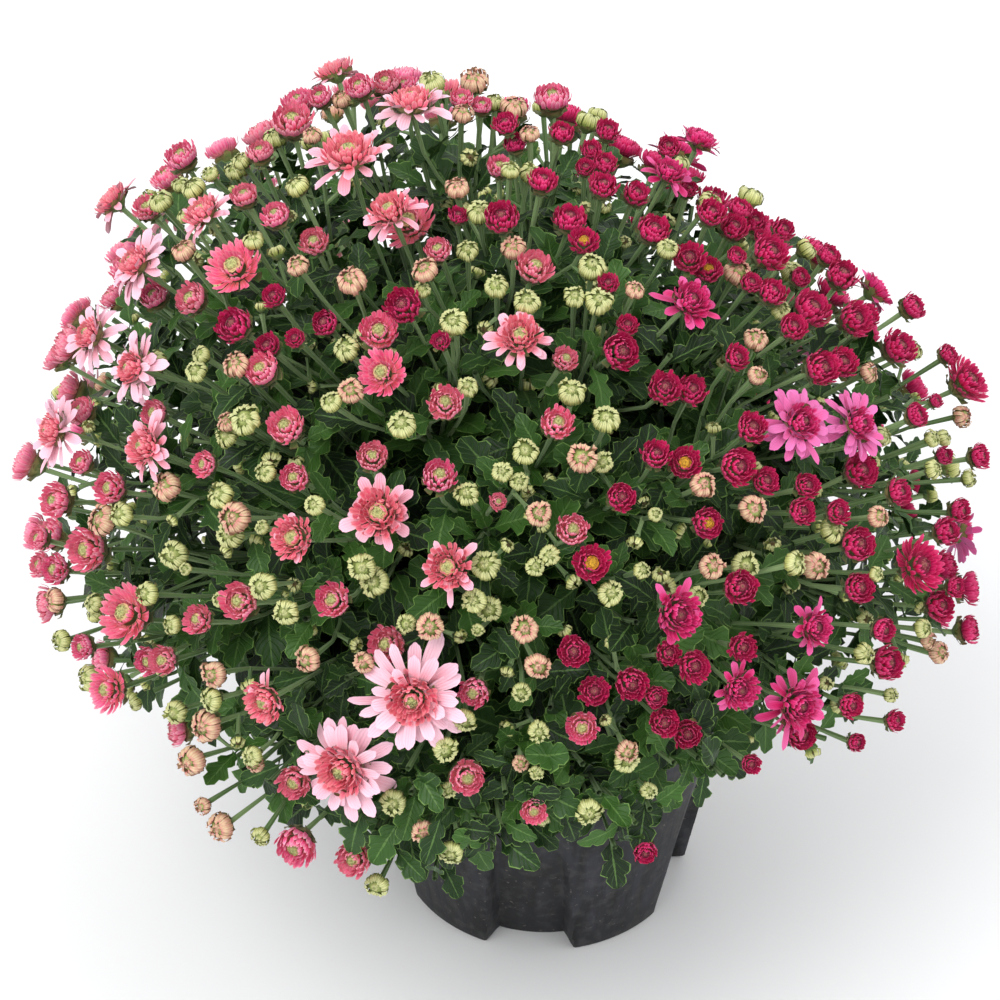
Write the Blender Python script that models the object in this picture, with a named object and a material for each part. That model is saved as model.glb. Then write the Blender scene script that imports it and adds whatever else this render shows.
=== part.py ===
"""Pot chrysanthemum: a salmon plant and a crimson plant grown together in one fluted nursery pot.

Metres, +Z up. The origin is the centre of the pot's flat base, and -Y is the front.
The foliage is a dome of leafy sprays. Each spray keeps to its own cone of directions
from the middle of the dome, so no spray crosses another, and stands in its own hole in
the soil. The open blooms are solids of their own, each seated on the end of its stalk.
"""

import math
import random

import bpy
from mathutils import Vector

# Pot
POT_HEIGHT = 0.160
POT_BASE_RADIUS = 0.080
POT_RIM_RADIUS = 0.105
POT_WALL = 0.0022
POT_FLOOR = 0.003
RIM_BAND_HEIGHT = 0.014
RIM_BAND_STEP = 0.003
FLUTES = 5
FLUTE_DEPTH = 0.013
FLUTE_TOP = 0.125
FLUTE_HALF_ANGLE_AT_BASE = math.radians(15.0)
FLUTE_HALF_ANGLE_AT_TOP = math.radians(8.0)
FLUTE_SIDE_ANGLE = math.radians(2.5)
FRONT_FLUTE_ANGLE = math.radians(-96.0)
DRAIN_HOLE_RADIUS = 0.0045
DRAIN_HOLE_RING = 0.055

# Soil
SOIL_HEIGHT = 0.140
SOIL_GAP = 0.0005
STEM_HOLE_RADIUS = 0.0039
STEM_HOLE_DEPTH = 0.018

# Dome of foliage
DOME_CENTRE = Vector((-0.020, 0.0, 0.205))
DOME_RADIUS = 0.252
DOME_LEAN = 0.16
DOME_LEAN_UP = Vector((0.0, 0.6, 0.8))
DOME_FRONT_FLAT = 0.12
DOME_UNDERCUT = 0.7
SKIRT_HEIGHT = -8.0
SKIRT_RIGHT = 4.0
SKIRT_FRONT_RIGHT = 8.0
POT_CLEARANCE_RADIUS = 0.114
POT_CLEARANCE_HEIGHT = 0.168
MEETING_GAP = 0.0003
CELL_GAP = 0.0010

# Sprays, for each plant: height of the row in degrees, sprays in the row
SPRAY_ROWS = ((3.0, 5), (37.0, 4), (69.0, 2))
BORDER_TURN = math.radians(7.0)
PLANT_BASE_OFFSET = 0.028
STEM_SPREAD = 0.042
STEM_REACH = 0.58
STEM_KNEE = 0.28
STEM_RADIUS = 0.0032
STEM_SIDES = 4
STALK_RADIUS = 0.0014
STALK_SIDES = 3
CORE_LEVELS = (0.46, 0.52, 0.66, 0.72)
CORE_SIDES = 9
CORE_NARROWING = 0.85
CORE_BELOW_SKIRT = math.radians(3.0)

# Heads and leaves
FAR_HEADS_ON_WHOLE_SPHERE = 240
LEAVES_ON_WHOLE_SPHERE = 174
BUD_SHARE = 0.44
HEAD_RADIUS = (0.0085, 0.0110)
BUD_RADIUS = (0.0052, 0.0064)
HEAD_SIDES = 5
BUD_SIDES = 4
HEAD_REACH = (0.91, 1.00)
BUD_REACH = (0.91, 0.98)
HEAD_GAP = 0.0015
BRANCH_REACH = 0.63
BRANCH_LEAN = 0.25
LEAF_LENGTH = (0.044, 0.054)
LEAF_THICKNESS = 0.0018
LEAF_REACH = (0.80, 0.92)
LEAF_LIMIT = 0.96
LEAF_DRAWN_IN = 0.010
LEAF_GAP = 0.002
LEAF_BELOW_SKIRT = math.radians(6.0)
LEAF_HEADING = 0.9
LEAF_RISE = (0.15, 0.75)
LEAF_ROLL = 0.35
LEAF_TRIES = 24
LEAF_TRY_TURN = 0.27
LEAF_TRY_SHRINK = 0.985
LEAF_DROOP = (0.16, 0.35)
PETIOLE_REACH = 0.61
PETIOLE_LEAN = 0.20
SEED = 20

# Leaf outline: along and across, in leaf lengths, from the petiole to the last notch
LEAF_OUTLINE = (
    (0.08, 0.04),
    (0.34, 0.25),
    (0.46, 0.12),
    (0.58, 0.30),
    (0.74, 0.27),
    (0.78, 0.13),
)
LEAF_TIP = (1.0, 0.0)
LEAF_WIDEST = (0.60, 0.30)
LEAF_RIB = (0.36, 0.72)
LEAF_COLLAR = 1
LEAF_NOTCH = 3

# Front view that the lists below are read in
VIEW_TARGET = Vector((-0.024, 0.016, 0.232))
VIEW_DISTANCE = 1.25
VIEW_HEIGHT_ANGLE = math.radians(37.0)
VIEW_BACK = Vector((0.0, -math.cos(VIEW_HEIGHT_ANGLE), math.sin(VIEW_HEIGHT_ANGLE)))
VIEW_WIDTH = 0.513
VIEW_UNITS = 1000.0

# Open blooms that show from the front: across and down in that view, then width in metres
BLOOMS_SEEN = (
    (408, 118, 0.042),
    (358, 155, 0.044),
    (390, 212, 0.034),
    (206, 216, 0.034),
    (137, 268, 0.038),
    (97, 335, 0.036),
    (132, 367, 0.038),
    (60, 432, 0.040),
    (152, 449, 0.034),
    (296, 538, 0.030),
    (380, 515, 0.040),
    (448, 566, 0.032),
    (408, 703, 0.052),
    (348, 765, 0.052),
    (268, 700, 0.030),
    (520, 340, 0.034),
    (690, 302, 0.034),
    (670, 170, 0.030),
    (796, 425, 0.040),
    (857, 425, 0.038),
    (676, 614, 0.034),
    (800, 700, 0.040),
    (735, 693, 0.030),
    (815, 634, 0.030),
)

# Half-open heads and closed buds that show from the front: across, down and width in the same view
HEADS_SEEN = (
    (180, 155, 34), (291, 121, 40), (278, 219, 30), (187, 295, 34), (234, 325, 38), (257, 367, 36),
    (360, 87, 30), (554, 88, 38), (410, 224, 44), (534, 265, 36), (401, 299, 38), (374, 325, 38),
    (381, 370, 40), (51, 500, 36), (102, 487, 34), (77, 411, 30), (282, 425, 38), (230, 517, 30),
    (79, 549, 42), (131, 615, 46), (241, 602, 38), (328, 602, 36), (111, 689, 38), (446, 405, 36),
    (370, 456, 32), (437, 476, 36), (557, 424, 34), (572, 531, 34), (389, 645, 38), (474, 695, 32),
    (585, 732, 32), (465, 781, 36), (291, 785, 34), (297, 844, 42), (355, 859, 36), (229, 262, 46),
    (439, 251, 28), (534, 816, 26), (542, 181, 30), (502, 219, 36), (657, 221, 34), (621, 349, 38),
    (712, 212, 30), (770, 252, 38), (842, 277, 34), (816, 306, 40), (857, 317, 36), (771, 294, 30),
    (822, 367, 36), (903, 346, 36), (965, 383, 40), (667, 386, 34), (750, 430, 32), (742, 464, 38),
    (690, 461, 32), (657, 455, 30), (622, 497, 30), (711, 522, 32), (864, 470, 36), (951, 532, 30),
    (929, 567, 44), (865, 545, 36), (747, 589, 36), (864, 589, 32), (950, 607, 32), (895, 666, 36),
    (692, 666, 32), (574, 652, 32), (590, 564, 36), (632, 684, 34), (665, 724, 30), (692, 739, 30),
    (810, 740, 32), (645, 851, 24), (752, 765, 20), (917, 304, 28), (609, 125, 26), (905, 726, 22),
)
BUDS_SEEN = (
    (54, 642, 20), (84, 680, 24), (186, 765, 26), (204, 805, 16), (212, 836, 26), (369, 906, 22),
    (451, 855, 22), (590, 815, 24), (652, 796, 16), (946, 654, 20), (904, 700, 16), (969, 414, 20),
    (716, 192, 22), (432, 82, 24), (514, 100, 24), (162, 204, 22), (485, 566, 28), (489, 609, 24),
    (599, 301, 26), (574, 387, 26),
)
# Places read from the front view: how far out on the dome, how far past its edge, and how to clear a neighbour
SEEN_REACH = (0.97, 1.00)
SEEN_LIMIT = 1.05
SEEN_STEP_BACK = 0.003
SEEN_STEPS = 8
FAR_SIDE = 0.12

# Blooms on the far side: turn from +X and height, in degrees, then width in metres
BLOOMS_BEHIND = (
    (22, 30, 0.036),
    (34, 62, 0.032),
    (45, 8, 0.044),
    (62, 36, 0.038),
    (80, 14, 0.040),
    (100, 40, 0.042),
    (112, 10, 0.046),
    (128, 58, 0.034),
    (136, 24, 0.044),
    (152, 4, 0.040),
    (8, -2, 0.036),
    (158, 38, 0.036),
)

# Shape of an open bloom, in bloom radii unless it says otherwise
BLOOM_PETALS = 7
SMALL_BLOOM_PETALS = 6
SMALL_BLOOM_RADIUS = 0.0175
BLOOM_SEAT = 0.26
BLOOM_REACH = (0.985, 1.015)
BLOOM_GAP = 0.001
BLOOM_TILT = 0.12
BLOOM_CELL_GAP = 0.003
BLOOM_RAY_REACH = (0.90, 1.00)
BLOOM_INNER_REACH = (0.64, 0.72)


def material(name, colour, roughness):
    """A Principled material of one colour."""
    made = bpy.data.materials.new(name)
    made.use_nodes = True
    shader = made.node_tree.nodes["Principled BSDF"]
    shader.inputs["Base Color"].default_value = (*colour, 1.0)
    shader.inputs["Roughness"].default_value = roughness
    made.diffuse_color = (*colour, 1.0)
    return made


def clear_scene():
    for old in list(bpy.data.objects):
        bpy.data.objects.remove(old, do_unlink=True)


def new_collection(name):
    made = bpy.data.collections.new(name)
    bpy.context.scene.collection.children.link(made)
    return made


# Closed solids lofted through rings of points, which may differ in their number of points


def bridge(faces, low, high):
    """Triangles between two rings of vertex numbers, both counter-clockwise seen from the end."""
    i = 0
    j = 0
    while i < len(low) or j < len(high):
        next_low = (i + 0.5) / len(low) if i < len(low) else 2.0
        next_high = (j + 0.5) / len(high) if j < len(high) else 2.0
        same = abs(next_low - next_high) < 1e-9
        take_low = next_low < next_high - 1e-9 or (same and len(low) > len(high))
        a = low[i % len(low)]
        b = high[j % len(high)]
        if take_low:
            faces.append((a, low[(i + 1) % len(low)], b))
            i += 1
        else:
            faces.append((a, high[(j + 1) % len(high)], b))
            j += 1


def loft(rings):
    """Vertices and faces of a closed solid. A ring of one point is a tip; an end ring is capped flat."""
    points = []
    numbered = []
    for ring in rings:
        numbered.append(list(range(len(points), len(points) + len(ring))))
        points.extend(ring)
    faces = []
    for low, high in zip(numbered, numbered[1:]):
        if len(low) == 1:
            faces.extend((low[0], high[(k + 1) % len(high)], high[k]) for k in range(len(high)))
        elif len(high) == 1:
            faces.extend((low[k], low[(k + 1) % len(low)], high[0]) for k in range(len(low)))
        else:
            bridge(faces, low, high)
    if len(numbered[0]) > 1:
        faces.append(tuple(reversed(numbered[0])))
    if len(numbered[-1]) > 1:
        faces.append(tuple(numbered[-1]))
    return points, faces


def solid(name, shape, materials, collection, slot=0, stalk_faces=0):
    """A mesh object from points and faces. Its first faces may be a green stalk."""
    points, faces = shape
    mesh = bpy.data.meshes.new(name)
    mesh.from_pydata([tuple(p) for p in points], [], faces)
    for one in materials:
        mesh.materials.append(one)
    for face in mesh.polygons:
        face.material_index = 1 if face.index < stalk_faces else slot
    mesh.update()
    made = bpy.data.objects.new(name, mesh)
    collection.objects.link(made)
    return made


def axes_along(direction, turn=0.0):
    """Two unit vectors square to the direction and to each other, turned round it."""
    along = direction.normalized()
    helper = Vector((0.0, 0.0, 1.0)) if abs(along.z) < 0.9 else Vector((0.0, 1.0, 0.0))
    first = helper.cross(along).normalized()
    second = along.cross(first)
    across = first * math.cos(turn) + second * math.sin(turn)
    return across, along.cross(across)


def ring_round(centre, direction, radius, count, turn=0.0):
    """A regular ring of points square to the direction."""
    across, beside = axes_along(direction, turn)
    ring = []
    for k in range(count):
        angle = math.tau * k / count
        ring.append(centre + radius * (math.cos(angle) * across + math.sin(angle) * beside))
    return ring


# Pot and soil


def flute_fade(height):
    """1 at the base, 0 where the flutes run out."""
    return max(0.0, 1.0 - height / FLUTE_TOP)


def pot_ring(height, shift=0.0):
    """The pot's wall at a height, moved out by shift, with its flutes, which are wider inside."""
    fade = flute_fade(height)
    wall = POT_BASE_RADIUS + (POT_RIM_RADIUS - POT_BASE_RADIUS) * height / POT_HEIGHT
    depth = FLUTE_DEPTH * fade
    half = FLUTE_HALF_ANGLE_AT_TOP + (FLUTE_HALF_ANGLE_AT_BASE - FLUTE_HALF_ANGLE_AT_TOP) * fade
    half += max(0.0, -shift) / wall
    period = 2.0 * math.pi / FLUTES
    flank = period / 2.0 - half - FLUTE_SIDE_ANGLE
    steps = (
        (-half - FLUTE_SIDE_ANGLE, 0.0),
        (-half, depth),
        (half, depth),
        (half + FLUTE_SIDE_ANGLE, 0.0),
        (half + FLUTE_SIDE_ANGLE + flank * 2.0 / 3.0, 0.0),
        (half + FLUTE_SIDE_ANGLE + flank * 4.0 / 3.0, 0.0),
    )
    ring = []
    for flute in range(FLUTES):
        middle = FRONT_FLUTE_ANGLE + flute * period
        for offset, cut in steps:
            radius = wall - cut + shift
            angle = middle + offset
            ring.append(Vector((radius * math.cos(angle), radius * math.sin(angle), height)))
    return ring


def pot(plastic, parts, cutters):
    band = POT_HEIGHT - RIM_BAND_HEIGHT
    rings = [
        [Vector((0.0, 0.0, 0.0))],
        pot_ring(0.0),
        pot_ring(FLUTE_TOP),
        pot_ring(band),
        pot_ring(band, RIM_BAND_STEP),
        pot_ring(POT_HEIGHT, RIM_BAND_STEP),
        pot_ring(POT_HEIGHT, -POT_WALL),
        pot_ring(FLUTE_TOP, -POT_WALL),
        pot_ring(POT_FLOOR, -POT_WALL),
        [Vector((0.0, 0.0, POT_FLOOR))],
    ]
    made = solid("pot", loft(rings), [plastic], parts)
    for k in range(FLUTES):
        angle = FRONT_FLUTE_ANGLE + (k + 0.5) * 2.0 * math.pi / FLUTES
        foot = Vector((DRAIN_HOLE_RING * math.cos(angle), DRAIN_HOLE_RING * math.sin(angle), -POT_FLOOR))
        up = Vector((0.0, 0.0, 1.0))
        hole = [
            ring_round(foot, up, DRAIN_HOLE_RADIUS, 6),
            ring_round(foot + 3.0 * POT_FLOOR * up, up, DRAIN_HOLE_RADIUS, 6),
        ]
        solid(f"drain_hole_{k + 1}", loft(hole), [], cutters)
    cut(made, cutters, "MANIFOLD")
    return made


def soil(earth, sprays, parts, cutters):
    low = POT_FLOOR + MEETING_GAP
    inside = -POT_WALL - SOIL_GAP
    rings = [
        [Vector((0.0, 0.0, SOIL_HEIGHT))],
        pot_ring(SOIL_HEIGHT, inside),
        pot_ring(FLUTE_TOP, inside),
        pot_ring(low, inside),
        [Vector((0.0, 0.0, low))],
    ]
    points, faces = loft(rings)
    outward = [tuple(reversed(face)) for face in faces]
    made = solid("soil", (points, outward), [earth], parts)
    up = Vector((0.0, 0.0, 1.0))
    for k, spray in enumerate(sprays):
        bottom = Vector((spray["foot"].x, spray["foot"].y, SOIL_HEIGHT - STEM_HOLE_DEPTH))
        hole = [
            ring_round(bottom, up, STEM_HOLE_RADIUS, STEM_SIDES),
            ring_round(bottom + 2.0 * STEM_HOLE_DEPTH * up, up, STEM_HOLE_RADIUS, STEM_SIDES),
        ]
        solid(f"stem_hole_{k + 1}", loft(hole), [], cutters)
    cut(made, cutters, "MANIFOLD")
    return made


def apply_boolean(target, tools, operation, solver):
    """Runs one Boolean with a whole collection, keeps its result and removes the collection's objects."""
    step = target.modifiers.new("join", "BOOLEAN")
    step.operation = operation
    step.operand_type = "COLLECTION"
    step.collection = tools
    step.solver = solver
    bpy.context.view_layer.update()
    graph = bpy.context.evaluated_depsgraph_get()
    result = bpy.data.meshes.new_from_object(target.evaluated_get(graph))
    target.modifiers.remove(step)
    before = target.data
    target.data = result
    bpy.data.meshes.remove(before)
    result.name = target.name
    for used in list(tools.objects):
        bpy.data.objects.remove(used, do_unlink=True)


def cut(target, cutters, solver):
    for cutter in cutters.objects:
        cutter.hide_render = True
        cutter.display_type = "WIRE"
    apply_boolean(target, cutters, "DIFFERENCE", solver)


# Where everything stands


def dome_radius(direction):
    """The dome's reach in a direction: fuller at upper left, less deep in front and below."""
    upward = max(0.0, direction.dot(DOME_LEAN_UP))
    lean = 1.0 - DOME_LEAN * direction.x * upward
    front = 1.0 - DOME_FRONT_FLAT * max(0.0, -direction.y) * (1.0 - max(0.0, direction.z))
    under = 1.0 - DOME_UNDERCUT * max(0.0, -direction.z)
    return DOME_RADIUS * lean * front * under


def skirt_height(direction):
    """The lowest height angle that the foliage hangs to: lowest on the left, least at front right."""
    flat = math.hypot(direction.x, direction.y) or 1.0
    right = direction.x / flat
    front_right = max(0.0, right) * max(0.0, -direction.y / flat)
    return math.radians(SKIRT_HEIGHT + SKIRT_RIGHT * right + SKIRT_FRONT_RIGHT * front_right)


def height_angle(direction):
    return math.asin(max(-1.0, min(1.0, direction.z)))


def from_angles(turn, height):
    return Vector((math.cos(turn) * math.cos(height), math.sin(turn) * math.cos(height), math.sin(height)))


def spray_layout():
    """Two plants side by side, each with its rows of sprays."""
    sprays = []
    for plant, side in (("salmon", -1.0), ("crimson", 1.0)):
        border = math.pi / 2.0 if side < 0.0 else -math.pi / 2.0 + BORDER_TURN
        span = math.pi + BORDER_TURN if side < 0.0 else math.pi - BORDER_TURN
        number = 0
        for height, count in SPRAY_ROWS:
            for k in range(count):
                number += 1
                turn = border + span * (k + 0.5) / count
                direction = from_angles(turn, math.radians(height))
                flat = Vector((direction.x, direction.y, 0.0))
                foot = Vector((side * PLANT_BASE_OFFSET, 0.0, 0.0)) + STEM_SPREAD * flat
                sprays.append({
                    "name": f"{plant}_spray_{number:02d}",
                    "plant": plant,
                    "direction": direction,
                    "foot": foot,
                })
    return sprays


def nearest_spray(direction, sprays):
    return max(range(len(sprays)), key=lambda k: direction.dot(sprays[k]["direction"]))


def clearance_in_cell(point, own, sprays):
    """How far a point is inside the walls of its spray's cone."""
    arm = point - DOME_CENTRE
    least = 1.0
    for k, spray in enumerate(sprays):
        if k != own:
            apart = sprays[own]["direction"] - spray["direction"]
            least = min(least, arm.dot(apart) / apart.length)
    return least


def clear_of_pot(point, margin):
    outside = math.hypot(point.x, point.y) > POT_CLEARANCE_RADIUS + margin
    return outside or point.z > POT_CLEARANCE_HEIGHT + margin


def drawn_in(direction, reach, margin, own, sprays):
    """The place at that reach, moved towards the spray's axis until it clears the cone's walls."""
    axis = sprays[own]["direction"]
    for step in range(25):
        aimed = (direction * (1.0 - step * 0.04) + axis * step * 0.04).normalized()
        place = DOME_CENTRE + reach * aimed
        if clearance_in_cell(place, own, sprays) > margin + CELL_GAP and clear_of_pot(place, margin):
            return place
    return None


def even_directions(count, lowest):
    """Directions spread evenly by the golden angle, down to a height angle under the level."""
    golden = math.pi * (3.0 - math.sqrt(5.0))
    found = []
    for k in range(count):
        level = 1.0 - 2.0 * (k + 0.5) / count
        direction = from_angles(k * golden, math.asin(level))
        if height_angle(direction) > skirt_height(direction) + lowest:
            found.append(direction)
    return found


def seen_place(across, down):
    """The point that shows at a place in the front view: on the dome, or just off its edge."""
    up = Vector((0.0, math.sin(VIEW_HEIGHT_ANGLE), math.cos(VIEW_HEIGHT_ANGLE)))
    eye = VIEW_TARGET + VIEW_DISTANCE * VIEW_BACK
    unit = VIEW_WIDTH / VIEW_UNITS
    sideways = (across - VIEW_UNITS / 2.0) * unit
    upwards = (VIEW_UNITS / 2.0 - down) * unit
    ray = (VIEW_TARGET + Vector((sideways, 0.0, 0.0)) + upwards * up - eye).normalized()
    best = None
    for step in range(160):
        arm = eye + ray * (VIEW_DISTANCE - 0.32 + 0.003 * step) - DOME_CENTRE
        ratio = arm.length / dome_radius(arm.normalized())
        if best is None or ratio < best[0]:
            best = (ratio, arm.normalized())
        if ratio < 1.0:
            break
    stretch = min(max(best[0], 1.0), SEEN_LIMIT)
    return DOME_CENTRE + stretch * dome_radius(best[1]) * best[1]


def bloom_layout(sprays):
    """Open blooms on the dome, pushed apart until none touches another."""
    blooms = []
    for across, down, width in BLOOMS_SEEN:
        blooms.append({"place": seen_place(across, down), "radius": width / 2.0})
    for turn, height, width in BLOOMS_BEHIND:
        direction = from_angles(math.radians(turn), math.radians(height))
        blooms.append({
            "place": DOME_CENTRE + dome_radius(direction) * direction,
            "radius": width / 2.0,
        })
    draw = random.Random(SEED)
    for bloom in blooms:
        arm = bloom["place"] - DOME_CENTRE
        bloom["spray"] = nearest_spray(arm.normalized(), sprays)
        bloom["place"] = DOME_CENTRE + draw.uniform(*BLOOM_REACH) * arm
        bloom["turn"] = draw.uniform(0.0, math.tau)
        bloom["tilt"] = Vector((draw.uniform(-1.0, 1.0), draw.uniform(-1.0, 1.0), draw.uniform(-1.0, 1.0)))
    for _ in range(30):
        for a, one in enumerate(blooms):
            for other in blooms[a + 1:]:
                apart = one["place"] - other["place"]
                short = one["radius"] + other["radius"] + BLOOM_GAP - apart.length
                if short > 0.0:
                    one["place"] += apart.normalized() * short * 0.5
                    other["place"] -= apart.normalized() * short * 0.5
    for number, bloom in enumerate(blooms):
        plant = sprays[bloom["spray"]]["plant"]
        arm = bloom["place"] - DOME_CENTRE
        seated = drawn_in(arm.normalized(), arm.length, BLOOM_CELL_GAP, bloom["spray"], sprays)
        bloom["place"] = seated if seated is not None else bloom["place"]
        radial = (bloom["place"] - DOME_CENTRE).normalized()
        bloom["axis"] = (radial + BLOOM_TILT * bloom["tilt"]).normalized()
        bloom["name"] = f"{plant}_bloom_{number + 1:02d}"
        bloom["seat"] = bloom["place"] - BLOOM_SEAT * bloom["radius"] * bloom["axis"]
    return blooms


def clear_of_blooms(place, margin, blooms):
    return all((place - bloom["place"]).length > bloom["radius"] + margin for bloom in blooms)


def settled_head(kind, direction, reach, radius, turn, sprays, blooms, heads):
    """A head on its spray, or None where a bloom or another head is in the way."""
    own = nearest_spray(direction, sprays)
    place = drawn_in(direction, reach, radius, own, sprays)
    if place is None or not clear_of_blooms(place, radius + HEAD_GAP, blooms):
        return None
    if any((place - other["place"]).length < radius + other["radius"] + HEAD_GAP for other in heads):
        return None
    return {"kind": kind, "place": place, "radius": radius, "spray": own, "turn": turn}


def head_layout(sprays, blooms):
    """Half-open heads and buds: those read from the front view, then an even spread over the far side."""
    eye = VIEW_TARGET + VIEW_DISTANCE * VIEW_BACK
    heads = []
    for kind, seen in (("head", HEADS_SEEN), ("bud", BUDS_SEEN)):
        for across, down, width in seen:
            draw = random.Random(across + VIEW_UNITS * down)
            place = DOME_CENTRE.lerp(seen_place(across, down), draw.uniform(*SEEN_REACH))
            turn = draw.uniform(0.0, math.tau)
            away = place - eye
            radius = 0.5 * width * VIEW_WIDTH / VIEW_UNITS * away.length / VIEW_DISTANCE
            for step in range(SEEN_STEPS):
                arm = place + step * SEEN_STEP_BACK * away.normalized() - DOME_CENTRE
                head = settled_head(
                    kind, arm.normalized(), arm.length, radius, turn, sprays, blooms, heads
                )
                if head:
                    heads.append(head)
                    break
    draw = random.Random(SEED + 1)
    for direction in even_directions(FAR_HEADS_ON_WHOLE_SPHERE, 0.0):
        is_bud = draw.random() < BUD_SHARE
        radius = draw.uniform(*(BUD_RADIUS if is_bud else HEAD_RADIUS))
        reach = dome_radius(direction) * draw.uniform(*(BUD_REACH if is_bud else HEAD_REACH))
        turn = draw.uniform(0.0, math.tau)
        if direction.dot(VIEW_BACK) < FAR_SIDE:
            kind = "bud" if is_bud else "head"
            head = settled_head(kind, direction, reach, radius, turn, sprays, blooms, heads)
            if head:
                heads.append(head)
    return heads


def leaf_layout(sprays, blooms):
    """Leaves that stand out of the cores with their blades towards the light, spread evenly over the dome."""
    draw = random.Random(SEED + 2)
    leaves = []
    for direction in even_directions(LEAVES_ON_WHOLE_SPHERE, -LEAF_BELOW_SKIRT):
        own = nearest_spray(direction, sprays)
        axis = sprays[own]["direction"]
        length = draw.uniform(*LEAF_LENGTH)
        reach = dome_radius(direction) * draw.uniform(*LEAF_REACH)
        heading = draw.uniform(-LEAF_HEADING, LEAF_HEADING)
        rise = draw.uniform(*LEAF_RISE)
        roll = draw.uniform(-LEAF_ROLL, LEAF_ROLL)
        middle = drawn_in(direction, reach, LEAF_DRAWN_IN, own, sprays)
        if middle is None:
            continue
        radial = (middle - DOME_CENTRE).normalized()
        outward = radial - axis * radial.dot(axis)
        outward = outward - radial * outward.dot(radial)
        if outward.length < 0.02:
            outward = axes_along(radial)[0]
        outward.normalize()
        for attempt in range(LEAF_TRIES):
            angle = heading + attempt * (LEAF_TRY_TURN if attempt % 2 else -LEAF_TRY_TURN)
            flat = outward * math.cos(angle) + radial.cross(outward) * math.sin(angle)
            along = (flat * math.cos(rise) + radial * math.sin(rise)).normalized()
            side = (radial.cross(along).normalized() + roll * radial).normalized()
            side = (side - along * side.dot(along)).normalized()
            base = middle - 0.5 * length * along
            tip = middle + 0.5 * length * along
            widest = base + LEAF_WIDEST[0] * length * along
            wing = LEAF_WIDEST[1] * length * side
            corners = [base, tip, widest - wing, widest + wing]
            inside = min(clearance_in_cell(point, own, sprays) for point in corners) > CELL_GAP
            low = all(
                (point - DOME_CENTRE).length < LEAF_LIMIT * dome_radius((point - DOME_CENTRE).normalized())
                for point in corners
            )
            free = all(clear_of_pot(point, LEAF_GAP) for point in corners)
            if inside and low and free and clear_of_blooms(tip, LEAF_GAP, blooms):
                aim = axis.lerp((base - DOME_CENTRE).normalized(), PETIOLE_LEAN).normalized()
                leaves.append({
                    "root": DOME_CENTRE + PETIOLE_REACH * dome_radius(axis) * aim,
                    "base": base,
                    "along": along,
                    "side": side,
                    "length": length,
                    "spray": own,
                })
                break
            length *= LEAF_TRY_SHRINK
    return leaves


# Pieces of a spray


def stem_path(spray):
    """From the hole in the soil, upright, then bending out along the spray's own direction."""
    bottom = Vector((spray["foot"].x, spray["foot"].y, SOIL_HEIGHT - STEM_HOLE_DEPTH + MEETING_GAP))
    surface = Vector((spray["foot"].x, spray["foot"].y, SOIL_HEIGHT + 0.002))
    reach = dome_radius(spray["direction"])
    knee = DOME_CENTRE + STEM_KNEE * reach * spray["direction"]
    end = DOME_CENTRE + STEM_REACH * reach * spray["direction"]
    path = [bottom, surface]
    for k in range(1, 4):
        t = k / 3.0
        path.append((1.0 - t) ** 2 * surface + 2.0 * t * (1.0 - t) * knee + t * t * end)
    return path


def tube(path, radii, sides):
    """A closed tube whose rings keep one fixed heading, so that it never twists."""
    rings = []
    for k, point in enumerate(path):
        along = path[min(k + 1, len(path) - 1)] - path[max(k - 1, 0)]
        if k < 2 and len(path) > 2:
            along = Vector((0.0, 0.0, 1.0))
        across = Vector((0.0, 1.0, 0.0)).cross(along)
        if across.length < 0.2 * along.length:
            across = Vector((1.0, 0.0, 0.0)).cross(along)
        across.normalize()
        beside = along.normalized().cross(across)
        turns = [math.tau * s / sides for s in range(sides)]
        rings.append([
            point + radii[k] * (math.cos(turn) * across + math.sin(turn) * beside) for turn in turns
        ])
    return loft(rings)


def core_shape(own, sprays):
    """A small faceted core in the middle of the spray's cone."""
    axis = sprays[own]["direction"]
    reach = dome_radius(axis)
    draw = random.Random(SEED + 100 + own)
    across, beside = axes_along(axis)
    aims = []
    for k in range(CORE_SIDES):
        angle = math.tau * k / CORE_SIDES
        outward = math.cos(angle) * across + math.sin(angle) * beside
        spread = 0.02
        for step in range(2, 40):
            lean = math.radians(step)
            aim = axis * math.cos(lean) + outward * math.sin(lean)
            low = height_angle(aim) < skirt_height(aim) - CORE_BELOW_SKIRT
            if clearance_in_cell(DOME_CENTRE + CORE_LEVELS[1] * reach * aim, own, sprays) < CELL_GAP or low:
                break
            spread = lean
        aims.append((outward, spread * draw.uniform(0.94, 1.0)))

    def ring(level, narrowing):
        made = []
        for outward, spread in aims:
            aim = axis * math.cos(spread * narrowing) + outward * math.sin(spread * narrowing)
            made.append(DOME_CENTRE + level * draw.uniform(0.98, 1.02) * reach * aim)
        return made

    inmost, inner, outer, outmost = CORE_LEVELS
    return loft([
        [DOME_CENTRE + inmost * reach * axis],
        ring(inner, CORE_NARROWING),
        ring(outer, 1.0),
        [DOME_CENTRE + outmost * reach * axis],
    ])


def branch_start(spray, place):
    """Where a stalk leaves the core: between the spray's own axis and the place that it leads to."""
    axis = spray["direction"]
    aim = axis.lerp((place - DOME_CENTRE).normalized(), BRANCH_LEAN).normalized()
    return DOME_CENTRE + BRANCH_REACH * dome_radius(axis) * aim


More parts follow.
